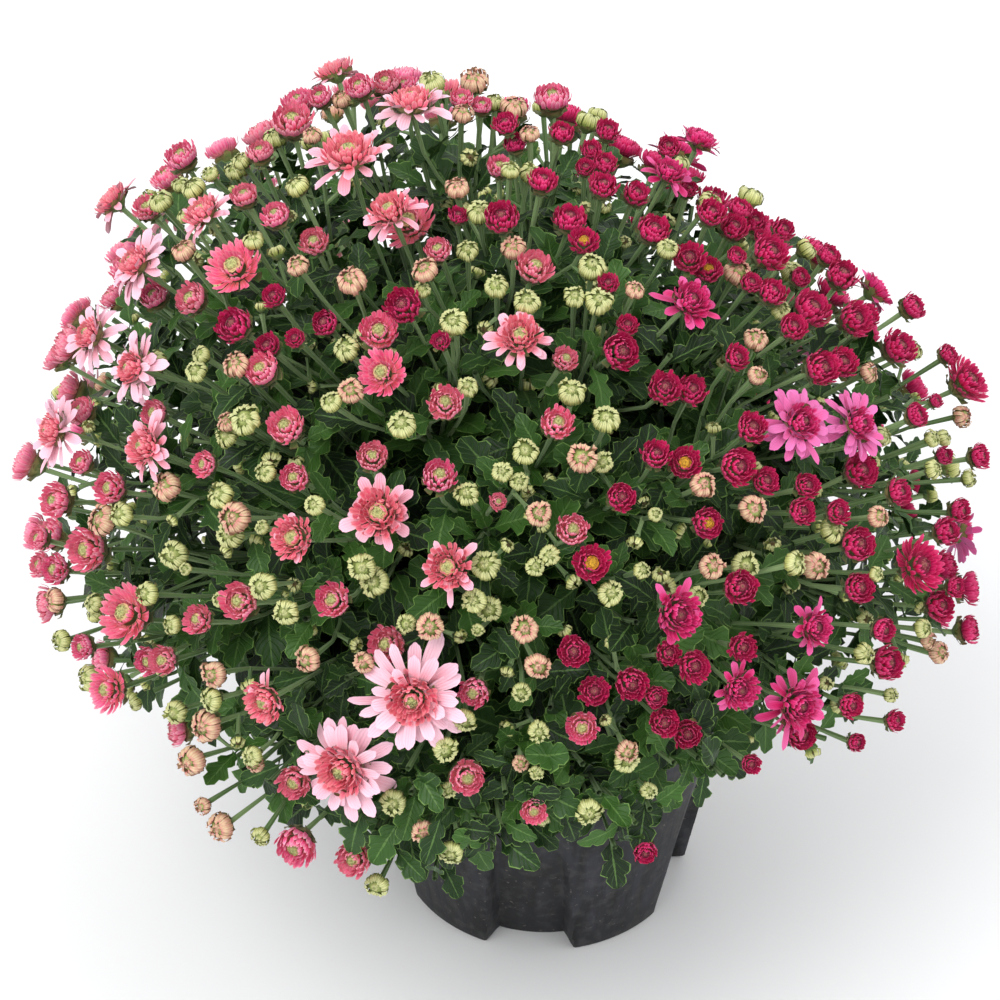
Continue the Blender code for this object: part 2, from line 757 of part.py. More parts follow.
def head_shape(head, spray):
    """A stalk that widens into a half-open head with a dented crown, or into a closed bud."""
    start = branch_start(spray, head["place"])
    axis = (head["place"] - start).normalized()
    radius = head["radius"]
    turn = head["turn"]
    neck = head["place"] - 0.62 * radius * axis
    rings = [
        ring_round(start, axis, STALK_RADIUS, STALK_SIDES, turn),
        ring_round(neck, axis, STALK_RADIUS, STALK_SIDES, turn),
    ]
    if head["kind"] == "bud":
        rings.append(ring_round(head["place"], axis, radius, BUD_SIDES, turn))
        rings.append([head["place"] + 0.72 * radius * axis])
    else:
        rings.append(ring_round(head["place"], axis, radius, HEAD_SIDES, turn))
        crown = head["place"] + 0.58 * radius * axis
        rings.append(ring_round(crown, axis, 0.70 * radius, HEAD_SIDES, turn))
        rings.append([head["place"] + 0.22 * radius * axis])
    return loft(rings)


def bloom_stalk_shape(bloom, spray):
    """The stalk of an open bloom, with a flat end just under the bloom's seat."""
    start = branch_start(spray, bloom["seat"])
    end = bloom["seat"] - MEETING_GAP * bloom["axis"]
    below = end - 0.004 * bloom["axis"]
    return loft([
        ring_round(start, bloom["axis"], STALK_RADIUS, STALK_SIDES, bloom["turn"]),
        ring_round(below, bloom["axis"], STALK_RADIUS, STALK_SIDES, bloom["turn"]),
        ring_round(end, bloom["axis"], 1.3 * STALK_RADIUS, STALK_SIDES, bloom["turn"]),
    ])


def leaf_shape(leaf):
    """A blade with five rounded lobes on a petiole, thickest on its rib and drooping towards tip and sides."""
    length = leaf["length"]
    normal = leaf["along"].cross(leaf["side"])
    if normal.dot(leaf["base"] - DOME_CENTRE) < 0.0:
        normal = -normal
    side = normal.cross(leaf["along"])

    def place(x, y, lift):
        droop = -LEAF_DROOP[0] * x * x - LEAF_DROOP[1] * y * y
        return leaf["base"] + length * (x * leaf["along"] + y * side + droop * normal) + lift * normal

    outline = [leaf["root"]]
    outline.extend(place(x, -y, 0.0) for x, y in LEAF_OUTLINE)
    outline.append(place(*LEAF_TIP, 0.0))
    outline.extend(place(x, y, 0.0) for x, y in reversed(LEAF_OUTLINE))
    count = len(outline)
    half = LEAF_THICKNESS / 2.0
    collar = place(LEAF_OUTLINE[0][0], 0.0, 0.0)
    bend = ((collar - leaf["root"]).normalized() + leaf["along"]).cross(side).normalized()
    ribs = [(collar, bend)]
    ribs.extend((place(x, 0.0, 0.0), normal) for x in LEAF_RIB)
    points = list(outline)
    for middle, lift in ribs:
        points.append(middle + half * lift)
        points.append(middle - half * lift)
    faces = []
    turns = (LEAF_COLLAR, LEAF_NOTCH, count - LEAF_NOTCH, count - LEAF_COLLAR)
    steps = (1, 1, -1, -1)
    rib_of = [sum(step for turn, step in zip(turns, steps) if k >= turn) for k in range(count)]
    for k in range(count):
        after = (k + 1) % count
        top = count + 2 * rib_of[k]
        faces.append((k, after, top))
        faces.append((after, k, top + 1))
        step = rib_of[after] - rib_of[k]
        if step:
            next_top = top + 2 * step
            faces.append((after, next_top, top))
            faces.append((after, top + 1, next_top + 1))
    return points, faces


def keep_largest_body(mesh):
    """Drops loose scraps and fills hollows that the union sealed: both are bodies apart from the largest."""
    parent = list(range(len(mesh.vertices)))

    def root_of(k):
        while parent[k] != k:
            parent[k] = parent[parent[k]]
            k = parent[k]
        return k

    for edge in mesh.edges:
        parent[root_of(edge.vertices[0])] = root_of(edge.vertices[1])
    sizes = {}
    for k in range(len(mesh.vertices)):
        sizes[root_of(k)] = sizes.get(root_of(k), 0) + 1
    largest = max(sizes, key=sizes.get)
    kept = [k for k in range(len(mesh.vertices)) if root_of(k) == largest]
    number = {old: new for new, old in enumerate(kept)}
    points = [mesh.vertices[k].co.copy() for k in kept]
    faces = []
    slots = []
    for face in mesh.polygons:
        if face.vertices[0] in number:
            faces.append(tuple(number[k] for k in face.vertices))
            slots.append(face.material_index)
    return points, faces, slots


def spray_solid(own, sprays, heads, leaves, blooms, materials, parts, joining):
    """One leafy stem with all that grows on it, fused in one body."""
    spray = sprays[own]
    made = solid(spray["name"], core_shape(own, sprays), materials, parts, 0)
    path = stem_path(spray)
    radii = [STEM_RADIUS] * 2 + [STEM_RADIUS * 0.9] * (len(path) - 2)
    solid("stem", tube(path, radii, STEM_SIDES), materials, joining, 1)
    for head in heads:
        if head["spray"] == own:
            slot = 3 if head["kind"] == "bud" else 2
            solid("head", head_shape(head, spray), materials, joining, slot, STALK_SIDES * 2)
    for bloom in blooms:
        if bloom["spray"] == own:
            solid("bloom_stalk", bloom_stalk_shape(bloom, spray), materials, joining, 1)
    for leaf in leaves:
        if leaf["spray"] == own:
            solid("leaf", leaf_shape(leaf), materials, joining, 0)
    apply_boolean(made, joining, "UNION", "MANIFOLD")
    points, faces, slots = keep_largest_body(made.data)
    before = made.data
    mesh = bpy.data.meshes.new(spray["name"])
    mesh.from_pydata(points, [], faces)
    for one in materials:
        mesh.materials.append(one)
    for face, slot in zip(mesh.polygons, slots):
        face.material_index = slot
    made.data = mesh
    bpy.data.meshes.remove(before)
    return made


def bloom_shape(bloom):
    """Two layers of rays, each ray a flat-ended blade, round a dented crown, on a seat under the middle."""
    radius = bloom["radius"]
    axis = bloom["axis"]
    across, beside = axes_along(axis, bloom["turn"])
    seat = bloom["seat"]
    draw = random.Random(int(bloom["name"][-2:]) + SEED)

    def point(angle, out, height):
        return seat + radius * (out * (math.cos(angle) * across + math.sin(angle) * beside) + height * axis)

    def plain(count, out, height, turn=0.0):
        return [point(turn + math.tau * k / count, out, height) for k in range(count)]

    petals = SMALL_BLOOM_PETALS if radius < SMALL_BLOOM_RADIUS else BLOOM_PETALS
    petal = math.tau / petals
    outer = []
    inner = []
    for k in range(petals):
        middle = k * petal
        out = draw.uniform(*BLOOM_RAY_REACH)
        rise = draw.uniform(-0.07, 0.07)
        outer.append(point(middle - 0.20 * petal, out, 0.27 + rise))
        outer.append(point(middle + 0.20 * petal, out, 0.27 + rise))
        outer.append(point(middle + 0.50 * petal, 0.40, 0.24))
        out = draw.uniform(*BLOOM_INNER_REACH)
        inner.append(point(middle + 0.5 * petal, out, 0.62 + rise))
        inner.append(point(middle + 1.0 * petal, 0.39, 0.46))
    half = 0.5 * petal
    return loft([
        ring_round(seat, axis, 1.5 * STALK_RADIUS, STALK_SIDES, bloom["turn"]),
        outer,
        plain(petals, 0.29, 0.35),
        inner[-1:] + inner[:-1],
        plain(petals, 0.26, 0.50, 0.0),
        plain(petals, 0.20, 0.66, half),
        [point(0.0, 0.0, 0.52)],
    ])


def main():
    clear_scene()
    parts = new_collection("pot_chrysanthemum")
    cutters = new_collection("cutters")
    joining = new_collection("joining")
    plastic = material("pot_plastic", (0.022, 0.023, 0.026), 0.6)
    earth = material("soil", (0.055, 0.036, 0.024), 0.95)
    leaf_green = material("leaf_green", (0.045, 0.110, 0.040), 0.6)
    stalk_green = material("stalk_green", (0.180, 0.260, 0.140), 0.6)
    bud_cream = material("bud_cream", (0.560, 0.590, 0.300), 0.6)
    salmon = material("salmon_petal", (0.800, 0.190, 0.210), 0.6)
    crimson = material("crimson_petal", (0.420, 0.020, 0.100), 0.6)
    petals = {"salmon": salmon, "crimson": crimson}
    sprays = spray_layout()
    blooms = bloom_layout(sprays)
    heads = head_layout(sprays, blooms)
    leaves = leaf_layout(sprays, blooms)
    pot(plastic, parts, cutters)
    soil(earth, sprays, parts, cutters)
    for own, spray in enumerate(sprays):
        materials = [leaf_green, stalk_green, petals[spray["plant"]], bud_cream]
        spray_solid(own, sprays, heads, leaves, blooms, materials, parts, joining)
    for bloom in blooms:
        colour = petals[sprays[bloom["spray"]]["plant"]]
        solid(bloom["name"], bloom_shape(bloom), [colour], parts)
    bpy.data.collections.remove(joining)
    bpy.data.collections.remove(cutters)
    bpy.context.view_layer.update()


main()
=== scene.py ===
"""Looks of the pot chrysanthemum: fine blooms, heads, buds, leaves, stalks, pot and soil crumbs.

Metres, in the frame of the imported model: +Z up, the origin in the middle of the pot's base,
-Y towards the camera. Each flower, leaf and stalk is a small curved sheet or tube. A Batch
gathers them in one mesh per plant and kind, with two UV maps: "tint" gives the place across
and along the petal plus a column of tints, and "OFBake" packs the same places in one square.
"""

import math

import bpy
import numpy as np
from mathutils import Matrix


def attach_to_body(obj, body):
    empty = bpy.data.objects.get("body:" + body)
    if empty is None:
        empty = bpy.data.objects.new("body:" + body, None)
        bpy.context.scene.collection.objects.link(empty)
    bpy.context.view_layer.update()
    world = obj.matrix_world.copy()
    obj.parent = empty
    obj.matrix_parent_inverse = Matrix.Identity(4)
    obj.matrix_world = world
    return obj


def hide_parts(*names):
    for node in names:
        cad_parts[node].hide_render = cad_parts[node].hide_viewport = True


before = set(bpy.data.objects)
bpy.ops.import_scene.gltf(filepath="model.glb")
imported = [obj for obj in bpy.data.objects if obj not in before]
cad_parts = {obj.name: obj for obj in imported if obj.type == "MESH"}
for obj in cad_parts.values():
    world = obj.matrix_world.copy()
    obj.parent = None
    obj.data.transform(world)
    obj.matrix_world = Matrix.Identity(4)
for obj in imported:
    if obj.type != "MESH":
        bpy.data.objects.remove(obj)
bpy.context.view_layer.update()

TAU = 2.0 * math.pi
UP = np.array((0.0, 0.0, 1.0))
SEED = 41

# Dome of foliage, with the same numbers as the solids
DOME_CENTRE = np.array((-0.020, 0.0, 0.205))
DOME_RADIUS = 0.252
DOME_LEAN = 0.16
DOME_LEAN_UP = np.array((0.0, 0.6, 0.8))
DOME_FRONT_FLAT = 0.12
DOME_UNDERCUT = 0.7
SKIRT_HEIGHT = -8.0
SKIRT_RIGHT = 4.0
SKIRT_FRONT_RIGHT = 8.0
BORDER_TURN = math.radians(7.0)

# Pot, with the same numbers as the solids
POT_HEIGHT = 0.160
POT_BASE_RADIUS = 0.080
POT_RIM_RADIUS = 0.105
POT_WALL = 0.0022
POT_FLOOR = 0.003
RIM_BAND_HEIGHT = 0.014
RIM_BAND_STEP = 0.003
FLUTES = 5
FLUTE_DEPTH = 0.013
FLUTE_TOP = 0.125
FLUTE_HALF_ANGLE_AT_BASE = math.radians(15.0)
FLUTE_HALF_ANGLE_AT_TOP = math.radians(8.0)
FLUTE_SIDE_ANGLE = math.radians(2.5)
FRONT_FLUTE_ANGLE = math.radians(-96.0)
FLUTE_SIDES_FROM = math.radians(7.0)
FLUTE_SIDES_TO = math.radians(19.5)
DRAIN_HOLE_RADIUS = 0.0045
DRAIN_HOLE_RING = 0.055
SOIL_HEIGHT = 0.140
SOIL_RADIUS = 0.098
PLANT_BASE_OFFSET = 0.028
STEM_SPREAD = 0.050

# Camera
VIEW_TARGET = np.array((-0.024, 0.016, 0.232))
VIEW_DISTANCE = 1.25
VIEW_HEIGHT_ANGLE = math.radians(37.0)
VIEW_BACK = np.array((0.0, -math.cos(VIEW_HEIGHT_ANGLE), math.sin(VIEW_HEIGHT_ANGLE)))
VIEW_UP = np.array((0.0, math.sin(VIEW_HEIGHT_ANGLE), math.cos(VIEW_HEIGHT_ANGLE)))
VIEW_WIDTH = 0.513
VIEW_UNITS = 1000.0
PIXEL = VIEW_WIDTH / VIEW_UNITS
SENSOR_WIDTH = 36.0

# Light and floor: each lamp's name, place, energy and size
SKY_COLOUR = (0.97, 0.98, 1.0, 1.0)
SKY_STRENGTH = 0.95
LAMPS = (
    ("key", (-0.9, -1.2, 2.2), 34.0, 1.4),
    ("fill", (1.6, -0.8, 1.4), 9.0, 1.6),
    ("back", (0.4, 1.8, 1.8), 10.0, 1.6),
)
LAMP_TARGET = np.array((0.0, 0.0, 0.25))
FLOOR_COLOUR = (0.86, 0.86, 0.86, 1.0)
FLOOR_SIZE = 40.0
FLOOR_HEIGHT = -0.0005

# Flower heads that show from the front: across, down and width in a view 1000 wide
SALMON_HALF_OPEN = (
    (180, 155, 34), (135, 197, 28), (259, 153, 28), (291, 121, 40), (294, 94, 34), (319, 94, 26),
    (244, 196, 28), (278, 219, 30), (307, 231, 30), (187, 295, 34), (145, 290, 30), (257, 367, 36),
    (360, 87, 30), (384, 77, 30), (402, 76, 26), (554, 88, 38), (461, 99, 24), (481, 100, 22),
    (499, 157, 26), (439, 251, 28), (534, 265, 36), (374, 325, 38), (566, 354, 26), (147, 410, 28),
    (77, 411, 30), (74, 462, 26), (51, 500, 36), (102, 487, 34), (204, 464, 26), (282, 425, 38),
    (292, 477, 30), (42, 539, 24), (30, 566, 26), (79, 549, 42), (56, 570, 30), (191, 622, 30),
    (241, 602, 38), (328, 602, 36), (80, 648, 26), (145, 662, 30), (164, 661, 30), (446, 405, 36),
    (370, 456, 32), (437, 476, 36), (497, 501, 18), (557, 424, 34), (572, 531, 34), (389, 645, 38),
    (474, 695, 32), (291, 785, 34), (297, 844, 42), (355, 859, 36), (465, 781, 36), (585, 732, 32),
    (534, 816, 26),
)
SALMON_WIDE = ((229, 262, 46), (410, 224, 44), (381, 370, 40), (131, 615, 48), (111, 689, 38))
CRIMSON_HALF_OPEN = (
    (266, 288, 24), (234, 325, 38), (320, 316, 28), (266, 345, 26), (292, 335, 20), (401, 299, 38),
    (456, 205, 20), (441, 341, 20), (506, 126, 26), (516, 133, 24), (562, 127, 26), (609, 125, 26),
    (594, 137, 22), (587, 160, 20), (606, 157, 26), (542, 181, 30), (604, 184, 30), (640, 182, 28),
    (502, 219, 36), (571, 211, 34), (657, 221, 34), (610, 281, 22), (621, 349, 38), (630, 321, 22),
    (668, 150, 24), (712, 212, 30), (740, 219, 30), (746, 200, 26), (762, 212, 26), (767, 230, 16),
    (787, 225, 24), (691, 185, 20), (695, 250, 32), (740, 251, 20), (770, 252, 38), (807, 270, 22),
    (830, 255, 26), (842, 277, 34), (754, 280, 22), (771, 294, 30), (794, 327, 28), (816, 306, 40),
    (857, 317, 36), (876, 310, 26), (917, 304, 28), (744, 351, 26), (822, 367, 36), (850, 359, 32),
    (903, 346, 36), (951, 354, 22), (667, 386, 34), (697, 386, 32), (657, 455, 30), (622, 497, 30),
    (574, 652, 32), (594, 692, 30), (632, 684, 34), (655, 697, 24), (750, 430, 32), (742, 464, 38),
    (771, 480, 28), (812, 485, 26), (805, 511, 28), (842, 512, 26), (864, 470, 36), (902, 492, 28),
    (914, 417, 26), (940, 400, 16), (952, 454, 20), (977, 457, 26), (971, 510, 26), (951, 532, 30),
    (865, 545, 36), (747, 589, 36), (864, 589, 32), (950, 607, 32), (952, 587, 22), (880, 629, 26),
    (895, 666, 36), (746, 649, 28), (672, 656, 26), (692, 666, 32), (852, 706, 26), (665, 724, 30),
    (692, 739, 30), (645, 851, 24), (752, 765, 20), (810, 740, 32), (905, 726, 22), (860, 745, 20),
)
CRIMSON_WIDE = ((965, 383, 40), (929, 567, 44))
CRIMSON_YELLOW_EYED = ((586, 235, 28), (714, 262, 28), (590, 564, 36), (711, 522, 32), (690, 461, 32))
OPENING_BUDS = (
    (236, 365, 24), (339, 90, 20), (474, 79, 26), (514, 100, 24), (514, 237, 24), (426, 272, 24),
    (351, 279, 28), (740, 269, 26), (101, 521, 28), (156, 486, 28), (230, 517, 30), (212, 675, 24),
    (539, 514, 24), (429, 627, 26), (525, 630, 26), (537, 665, 24), (582, 459, 28), (760, 507, 26),
    (877, 517, 20), (824, 566, 26), (946, 654, 20), (207, 726, 30), (186, 765, 28), (212, 836, 26),
    (422, 837, 22),
)
CREAM_BUDS = (
    (162, 204, 22), (182, 210, 18), (195, 190, 22), (211, 175, 16), (244, 164, 18), (229, 160, 20),
    (297, 186, 22), (252, 240, 20), (297, 265, 20), (192, 349, 18), (196, 372, 20), (151, 362, 24),
    (176, 180, 16), (181, 249, 22), (269, 126, 22), (312, 136, 18), (432, 82, 24), (494, 89, 18),
    (462, 114, 20), (530, 132, 18), (530, 162, 20), (510, 171, 18), (457, 184, 22), (479, 206, 24),
    (466, 240, 20), (420, 284, 16), (496, 280, 22), (594, 262, 26), (575, 295, 20), (599, 301, 26),
    (527, 304, 24), (454, 322, 26), (342, 344, 24), (634, 292, 18), (716, 192, 22), (672, 240, 20),
    (796, 269, 22), (785, 306, 18), (762, 335, 22), (926, 344, 18), (759, 374, 18), (874, 370, 18),
    (124, 515, 22), (216, 495, 24), (246, 421, 28), (222, 420, 18), (225, 436, 20), (330, 401, 20),
    (265, 471, 20), (314, 505, 20), (224, 534, 26), (259, 527, 14), (162, 555, 26), (184, 569, 12),
    (56, 600, 22), (91, 604, 18), (87, 616, 16), (147, 594, 22), (165, 626, 18), (262, 586, 26),
    (220, 600, 16), (286, 612, 24), (54, 642, 20), (84, 680, 24), (212, 700, 22), (302, 662, 24),
    (350, 390, 24), (467, 385, 20), (402, 425, 26), (466, 492, 22), (502, 471, 20), (519, 480, 18),
    (525, 452, 24), (574, 387, 26), (607, 419, 26), (605, 460, 20), (550, 555, 20), (535, 567, 18),
    (485, 566, 28), (359, 567, 26), (374, 582, 28), (474, 602, 24), (489, 609, 24), (404, 625, 18),
    (360, 665, 20), (477, 632, 12), (611, 594, 24), (657, 514, 14), (644, 571, 16), (522, 696, 18),
    (705, 484, 24), (842, 530, 24), (896, 432, 18), (932, 439, 16), (951, 436, 16), (969, 414, 20),
    (982, 476, 16), (932, 470, 18), (719, 567, 24), (746, 566, 26), (795, 564, 22), (876, 574, 14),
    (696, 597, 20), (925, 629, 18), (934, 642, 16), (867, 654, 20), (904, 700, 14), (165, 717, 22),
    (249, 759, 20), (249, 770, 16), (204, 805, 16), (261, 836, 18), (389, 811, 24), (444, 749, 24),
    (464, 721, 22), (451, 855, 22), (447, 797, 16), (369, 906, 22), (539, 735, 20), (626, 750, 20),
    (630, 766, 24), (652, 796, 16), (521, 771, 16), (537, 776, 14), (590, 815, 24),
)

# Leafy shoots without a head that hang over the pot's rim in that view: across and down
SHOOTS_SEEN = (
    (385, 862), (425, 872), (432, 890), (470, 858), (492, 860), (478, 832), (440, 818), (408, 800),
    (405, 775), (505, 800), (515, 775), (545, 828), (562, 820), (585, 770), (602, 800), (622, 812),
    (618, 856), (640, 832), (655, 818), (718, 775), (730, 782), (705, 765), (560, 795), (455, 840),
    (500, 835), (395, 835), (360, 815), (330, 795), (680, 770), (530, 800), (300, 760), (262, 790),
)

# How those places become heads: the search along a view ray, the room between heads, their lean
BORDER_ACROSS = (500.0, 600.0)
SEEN_REACH = (0.965, 1.0)
SEEN_LIMIT = 1.05
SEARCH_START = 0.32
SEARCH_STEP = 0.002
SEARCH_STEPS = 260
STEP_BACK = 0.003
STEPS_BACK = 9
HEAD_OVERLAP = 0.90
BLOOM_OVERLAP = 0.80
BLOOM_FACE = 0.3
HEADS_TO_VIEW = 0.40
HEAD_LIFT = 0.22
HEAD_TILT = 0.16
HEAD_BACK = 0.8
BLUSH_SHARE = 0.16
SEEN_OPENING = 0.25

# Heads on the far side, which the front view doesn't show, and leafy shoots all round
FAR_SPREAD = 640
FAR_JITTER = 0.055
FAR_SIDE = 0.10
FAR_SIDE_THIN = 0.40
FAR_THIN_GAP = 0.030
FAR_REACH = (0.88, 0.96)
FAR_BUD_SHARE = 0.46
FAR_BLUSH_SHARE = 0.12
FAR_HEAD_RADIUS = (0.0075, 0.0100)
FAR_BUD_RADIUS = (0.0042, 0.0064)
FAR_OPENING = 0.3
FAR_BORDER_WANDER = 0.06
SHOOT_SPREAD = 330
SHOOT_REACH = (0.84, 0.93)
RIM_SHOOT_REACH = 0.97

# Stems and stalks
GROUP_REACH = 0.042
GROUP_SIZE = 9
GROUP_DEPTH = 0.060
HUB_LEAST = 0.35
FOOT_DEPTH = 0.004
FOOT_JITTER = 0.006
STEM_RISE = 0.062
STEM_BEND = 0.42
STEM_BEND_RISE = 0.012
STEM_RADIUS = 0.0018
STEM_TAPER = (1.5, 1.0)
STEM_RINGS = 9
STALK_RADIUS = 0.00098
STALK_SHAPE = np.array((1.25, 1.05, 0.95, 0.95, 1.0, 1.45))
STALK_RINGS = len(STALK_SHAPE)
STALK_SIDES = 5
STALK_START = (0.70, 1.0)
STALK_BEND_START = 0.35
STALK_BEND_END = (0.38, 0.10)
SHOOT_BEND_START = 0.3
SHOOT_BEND_END = 0.4
SIDE_BUD_SHARE = 0.45
SIDE_BUD_PLACE = (0.55, 0.85)
SIDE_BUD_STALK = (0.008, 0.016)
SIDE_BUD_RADIUS = (0.0022, 0.0034)
GOLDEN = math.pi * (3.0 - math.sqrt(5.0))

# Leaves on each kind of stem: how many, the part of the stem that they stand on and their lengths
STEM_LEAVES = 10
STEM_LEAF_PART = (0.66, 0.34)
STEM_LEAF_LENGTH = (0.024, 0.038)
STEM_LEAF_TAPER = 0.008
INNER_LEAVES = 5
INNER_LEAF_PART = (0.36, 0.34)
INNER_LEAF_LENGTH = (0.046, 0.060)
INNER_LEAF_TURN = 2.0
STALK_LEAVES = 3
STALK_LEAF_PART = (0.08, 0.80)
STALK_LEAF_LENGTH = (0.017, 0.029)
SHOOT_LEAVES = 5
SHOOT_LEAF_PART = (0.50, 0.49)
SHOOT_LEAF_LENGTH = (0.018, 0.027)

# How far out and how far down leaves reach, and the room that they leave for the pot
LEAF_LIMIT = 0.975
LEAF_HANG = math.radians(7.0)
SHOOT_LIMIT = 1.07
SHOOT_HANG = math.radians(16.0)
POT_ROOM_RADIUS = 0.112
POT_ROOM_HEIGHT = 0.164

# Leaf: half outline along and across in leaf lengths, and the place on the rib that each point grows from
LEAF_OUTLINE = np.array((
    (-0.22, 0.014), (0.00, 0.018), (0.10, 0.050), (0.16, 0.150), (0.25, 0.235), (0.36, 0.225),
    (0.41, 0.195), (0.43, 0.150), (0.50, 0.255), (0.57, 0.325), (0.69, 0.300), (0.74, 0.250),
    (0.75, 0.185), (0.83, 0.215), (0.91, 0.175), (0.98, 0.110), (1.00, 0.025),
))
LEAF_RIB = np.array((
    -0.22, 0.00, 0.05, 0.09, 0.14, 0.21, 0.28, 0.34, 0.40, 0.48, 0.56, 0.63, 0.68, 0.74, 0.83, 0.93, 1.00,
))
SMALL_LEAF_ROWS = [0, 1, 3, 4, 5, 7, 9, 10, 12, 14, 16]
INNER_LEAF_ROWS = [0, 2, 5, 7, 10, 12, 16]
RIM_LEAF_ROWS = list(range(len(LEAF_RIB)))
LEAF_COLUMNS = np.array((-1.0, -0.55, 0.0, 0.55, 1.0))
LEAF_STALK = 0.22
LEAF_BREADTH = (0.82, 1.15)
LEAF_UNEVEN = 0.07
LEAF_DROOP = (0.05, 0.42)
LEAF_FOLD = (0.02, 0.40)
LEAF_WAVE = 0.045
LEAF_WAVES = 13.0
LEAF_LIFT_DEGREES = (12.0, 58.0)
LEAF_TO_LIGHT = 0.45
LEAF_TWIST = 0.22
LEAF_SKEW = 0.05

# Kinds of leaves: rows of the outline, how far out and how far down they reach
LEAF_KINDS = {
    "stem": (SMALL_LEAF_ROWS, LEAF_LIMIT, LEAF_HANG),
    "stalk": (SMALL_LEAF_ROWS, LEAF_LIMIT, LEAF_HANG),
    "inner": (INNER_LEAF_ROWS, LEAF_LIMIT, LEAF_HANG),
    "shoot": (SMALL_LEAF_ROWS, LEAF_LIMIT, LEAF_HANG),
    "rim": (RIM_LEAF_ROWS, SHOOT_LIMIT, SHOOT_HANG),
}

# Petal layers in head radii and degrees: petals, base radius, base height, length, width, rise, curl, cup
HALF_OPEN_LAYERS = (
    (25, 0.54, -0.10, 1.00, 0.27, 14.0, 108.0, 0.20),
    (23, 0.46, 0.06, 0.86, 0.23, 30.0, 98.0, 0.20),
    (20, 0.36, 0.20, 0.70, 0.19, 46.0, 90.0, 0.18),
)
HALF_OPEN_SPREADS = (1.0, 0.6, 0.3)
HALF_OPEN_ROWS = (4, 4, 3)
EYE_LAYER = (11, 0.25, 0.44, 0.34, 0.13, 50.0, 100.0, 0.10)
BUD_LAYERS = (
    (17, 0.45, -0.45, 1.86, 0.40, 5.0, 165.0, -0.25),
    (11, 0.32, 0.34, 0.72, 0.22, 58.0, 112.0, -0.25),
)
TINY_BUD_LAYER = (8, 0.45, -0.45, 2.10, 0.80, 5.0, 168.0, -0.25)
BRACT_LAYER = (8, 0.30, -0.62, 0.85, 0.48, 0.0, 80.0, -0.15)
RAY_LAYERS = (
    (16, 0.22, 0.14, 0.80, 0.250, 10.0, -24.0, 0.20),
    (14, 0.20, 0.24, 0.66, 0.215, 28.0, -22.0, 0.22),
)
BUTTON_LAYERS = (
    (24, 0.24, 0.24, 0.34, 0.100, 22.0, 64.0, 0.22),
    (21, 0.20, 0.29, 0.31, 0.092, 38.0, 60.0, 0.22),
    (18, 0.16, 0.34, 0.27, 0.084, 50.0, 60.0, 0.22),
    (14, 0.12, 0.39, 0.22, 0.076, 62.0, 60.0, 0.22),
)

# Petal: its share of width at the base, where it is widest, its rounded tip, and how a spread uncurls it
PETAL_ROWS_TO_TIP = 1.8
PETAL_NECK = 0.42
PETAL_SWELL = 0.58
PETAL_WIDEST = 0.72
PETAL_TIP_FROM = 0.78
PETAL_TIP_LENGTH = 0.22
PETAL_TIP_NARROWING = 0.82
PETAL_SIDE_PULL = -0.05
PETAL_UNCURL = 0.55

# Turned shapes in head radii: height and radius
BUD_CORE = ((-0.50, 0.50), (-0.10, 0.88), (0.38, 0.80), (0.72, 0.46), (0.84, 0.02))
TINY_BUD_CORE = ((-0.80, 0.30), (-0.30, 0.86), (0.20, 0.86), (0.80, 0.10))
BUD_CORE_SIDES = 8
CUP_SIDES = 7
DISC_RINGS = 5
DISC_SIDES = 10
DISC_RELIEF = 0.06

# How far each bloom is open, by its number, where it isn't fully
BLOOM_OPENNESS = {
    1: 0.70, 2: 0.45, 3: 0.40, 4: 0.60, 9: 0.60, 10: 0.00, 11: 0.42, 12: 0.20, 15: 0.00, 16: 0.42,
    17: 0.50, 18: 0.45, 21: 0.15, 22: 0.55, 23: 0.25, 24: 0.35, 25: 0.50, 26: 0.35, 28: 0.35,
    30: 0.40, 31: 0.50, 32: 0.30, 33: 0.60, 36: 0.40,
}
FULLY_OPEN = 0.65

# Crumbs of potting mix
CRUMBS = 240
CRUMB_SIZE = (0.0012, 0.0036)
CRUMB_LEVELS = np.array((-0.7, -0.1, 0.5, 0.85))
CRUMB_WIDTHS = np.array((0.55, 1.0, 0.75, 0.06))
CRUMB_ANGLES = 7

# Columns of tints in the UV maps: the last two are for blushing buds and yellow eyes; on leaves and stalks
# the columns pick lit or shaded tones as painted light and shade
COLUMNS = 6
COLUMN_MARGIN = 0.03
ALL_COLUMNS = (0, COLUMNS)
PLAIN_COLUMNS = (0, COLUMNS - 2)
SPECIAL_COLUMNS = (COLUMNS - 2, COLUMNS)
SPECIAL_FROM = COLUMNS - 2.5
TINT_SEED = 3.7

# Bands of the bake map: of a piece with one material, of heads and buds, and of blooms
WHOLE_MAP = ((0.0, 1.0),)
HEAD_BANDS = ((0.0, 0.55), (0.57, 0.77), (0.79, 1.0))
BLOOM_BANDS = ((0.0, 0.45), (0.47, 0.75), (0.77, 0.87), (0.89, 1.0))

# Materials that several pieces share: specular level, sheen of petals and of downy parts
SPECULAR = 0.28
PETAL_SHEEN = 0.06
DOWN_SHEEN = 0.1

